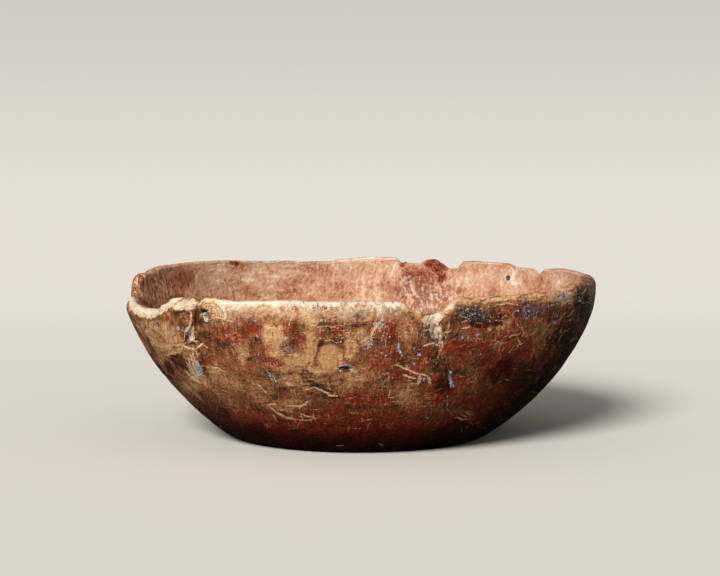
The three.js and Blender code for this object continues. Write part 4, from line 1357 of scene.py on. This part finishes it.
def inner_colour(n):
    """Bare tan and rose wood with ashen and flecked stretches, a stretch of painted light on the left,
    stains and painted shade, and the burr.
    """
    tone = n.total(
        0.0, streak=0.06, hatch=0.16, speck=0.24, ring=0.14, blotch=0.22, broad=0.22,
        salmon=0.2, rose=-0.2, stain=-0.42, scar=0.42, pit=-0.46,
    )
    tones = (INNER_DARK, INNER_ROSE, INNER_TAN, INNER_SALMON, INNER_PALE)
    colour = n.ramp(tone, list(zip((0.0, 0.25, 0.5, 0.75, 1.0), tones)))
    fleck = n.total(0.0, streak=0.55, speck=0.45)
    ash = n.ramp(fleck, [(0.32, ASH_DARK), (0.6, ASH), (0.88, ASH_PALE)])
    colour = n.coat(colour, ash, "ash", "dab", pull=0.9, start=0.2, full=1.1, cover=0.8)
    flecked = n.ramp(fleck, [(0.22, FLECK_DARK), (0.44, FLECK_BROWN), (0.72, FLECK_PALE)])
    colour = n.coat(colour, flecked, "mottle", "broad", pull=0.5, start=0.0, full=1.2, cover=0.8)
    # Stains, with painted shade beside the horn and under the burr
    colour = n.coat(colour, STAIN_AND_SHADE, "stain", "speck", pull=1.0, start=0.3, full=0.9, cover=0.5)
    knot = n.total(0.0, speck=0.6, dab=0.4)
    burr = n.ramp(knot, [(0.25, BURR_DARK), (0.58, BURR_RED), (0.8, INNER_ROSE), (1.0, INNER_SALMON)])
    return n.coat(colour, burr, "burr", "speck", pull=0.8, start=0.15, full=0.75, cover=0.95)


def root_wood():
    material = bpy.data.materials.new("painted_root_wood")
    material.use_nodes = True
    n = Nodes(material.node_tree)
    add_grain(n)
    colour = marked_colour(n, n.mix("inside", outer_colour(n), inner_colour(n)))
    shader = material.node_tree.nodes["Principled BSDF"]
    n.feed(shader.inputs["Base Color"], colour)
    n.feed(shader.inputs["Roughness"], n.total(ROUGHNESS, speck=ROUGHNESS_SPREAD))
    n.feed(shader.inputs["Specular IOR Level"], SHEEN)
    fine = n.total(0.0, speck=0.5, dab=0.25, hair=0.1, ring=0.5)
    height = n.part(fine, n.total(1.0, inside=-0.5))
    bump = n.add("ShaderNodeBump")
    n.feed(
        shader.inputs["Normal"],
        n.made(bump, "Normal", Strength=BUMP_STRENGTH, Distance=BUMP_HEIGHT, Height=height),
    )
    return material


# Stage, light and camera
STAGE_TONE = srgb(222, 217, 208)
STAGE_BOUNCE = (0.06, 0.05, 0.045, 1.0)
STAGE_ROUGHNESS = 0.9
# The backdrop glows lighter low down and darker higher up: painted light that fades up the wall
BACKDROP_LOW = srgb(234, 226, 217)
BACKDROP_HIGH = srgb(205, 201, 192)
# Depths at which the floor gives way to the backdrop, and heights over which its painted light fades to the
# darker tone, in metres
BACKDROP_DEPTHS, BACKDROP_HEIGHTS = (0.1, 1.2), (-0.15, 0.55)
# Half width and front edge of the floor, start and radius of its sweep, and top of the backdrop, in metres
STAGE_HALF, STAGE_FRONT, SWEEP_START, SWEEP_RADIUS, STAGE_TOP = 4.0, -3.0, 2.2, 0.8, 3.0
SWEEP_STEPS = 16


def stage_material():
    """A pale floor that takes the shadow and gives way to a glowing backdrop, with painted light that is
    brighter low down. It throws little light back.
    """
    material = bpy.data.materials.new("stage")
    material.use_nodes = True
    n = Nodes(material.node_tree)
    path = n.add("ShaderNodeLightPath").outputs
    seen = n.math("MAXIMUM", path["Is Glossy Ray"], path["Is Transmission Ray"])
    seen = n.math("MAXIMUM", path["Is Camera Ray"], seen)
    place = n.add("ShaderNodeSeparateXYZ")
    n.feed(place.inputs[0], n.add("ShaderNodeTexCoord").outputs["Object"])
    far = n.edge(place.outputs["Y"], *BACKDROP_DEPTHS)
    high = n.edge(place.outputs["Z"], *BACKDROP_HEIGHTS)
    shader = material.node_tree.nodes["Principled BSDF"]
    n.feed(shader.inputs["Base Color"], n.mix(path["Is Camera Ray"], STAGE_BOUNCE, STAGE_TONE))
    n.feed(shader.inputs["Roughness"], STAGE_ROUGHNESS)
    glow = n.add("ShaderNodeEmission")
    n.feed(glow.inputs["Color"], n.mix(high, BACKDROP_LOW, BACKDROP_HIGH))
    blend = n.add("ShaderNodeMixShader")
    layers = (n.part(far, seen), shader.outputs["BSDF"], glow.outputs["Emission"])
    for socket, layer in zip(blend.inputs, layers):
        n.feed(socket, layer)
    n.feed(material.node_tree.nodes["Material Output"].inputs["Surface"], blend.outputs[0])
    return material


def make_stage():
    """A floor that sweeps up into a backdrop."""
    profile = [(STAGE_FRONT, 0.0)]
    for k in range(SWEEP_STEPS + 1):
        turn = math.pi / 2 * k / SWEEP_STEPS
        profile.append((SWEEP_START + SWEEP_RADIUS * math.sin(turn), SWEEP_RADIUS * (1 - math.cos(turn))))
    profile.append((SWEEP_START + SWEEP_RADIUS, STAGE_TOP))
    places = [(x, y, z) for y, z in profile for x in (-STAGE_HALF, STAGE_HALF)]
    faces = [(2 * k, 2 * k + 1, 2 * k + 3, 2 * k + 2) for k in range(len(profile) - 1)]
    mesh = bpy.data.meshes.new("stage")
    mesh.from_pydata(places, [], faces)
    mesh.polygons.foreach_set("use_smooth", [True] * len(faces))
    mesh.materials.append(stage_material())
    floor = bpy.data.objects.new("stage", mesh)
    bpy.context.scene.collection.objects.link(floor)


# The key light comes from the front left, at the angle that the photograph's shadow shows
KEY_FROM = np.array([-1.2, -3.1, 2.14])
KEY_SPREAD = 21.5
KEY_STRENGTH = 4.15
SKY_STRENGTH = 0.28
LIGHT_TONE = (1, 0.98, 0.95)


def light_scene():
    """One wide, soft, far lamp, which lights the floor evenly, and a weak even sky."""
    lamp = bpy.data.lights.new("key", "SUN")
    lamp.angle = KEY_SPREAD * RADIANS
    lamp.energy = KEY_STRENGTH
    lamp.color = LIGHT_TONE
    holder = bpy.data.objects.new("key", lamp)
    holder.location = KEY_FROM
    tilt = math.atan2(math.hypot(KEY_FROM[0], KEY_FROM[1]), KEY_FROM[2])
    holder.rotation_euler = (tilt, 0, math.atan2(KEY_FROM[0], -KEY_FROM[1]))
    bpy.context.scene.collection.objects.link(holder)
    world = bpy.data.worlds.new("studio")
    world.use_nodes = True
    sky = world.node_tree.nodes["Background"]
    sky.inputs["Color"].default_value = (*LIGHT_TONE, 1)
    sky.inputs["Strength"].default_value = SKY_STRENGTH
    bpy.context.scene.world = world


def make_camera():
    camera = bpy.data.cameras.new("camera")
    camera.lens = CAMERA_LENS
    camera.sensor_width = CAMERA_SENSOR
    holder = bpy.data.objects.new("camera", camera)
    holder.location = CAMERA_PLACE * MM
    holder.rotation_euler = ((90 - CAMERA_PITCH) * RADIANS, 0, 0)
    bpy.context.scene.collection.objects.link(holder)
    bpy.context.scene.camera = holder


make_camera()
skin = make_skin()
skin.data.materials.append(root_wood())
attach(skin, "root")
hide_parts("bowl")
make_stage()
light_scene()
bpy.context.scene.view_settings.view_transform = "Standard"
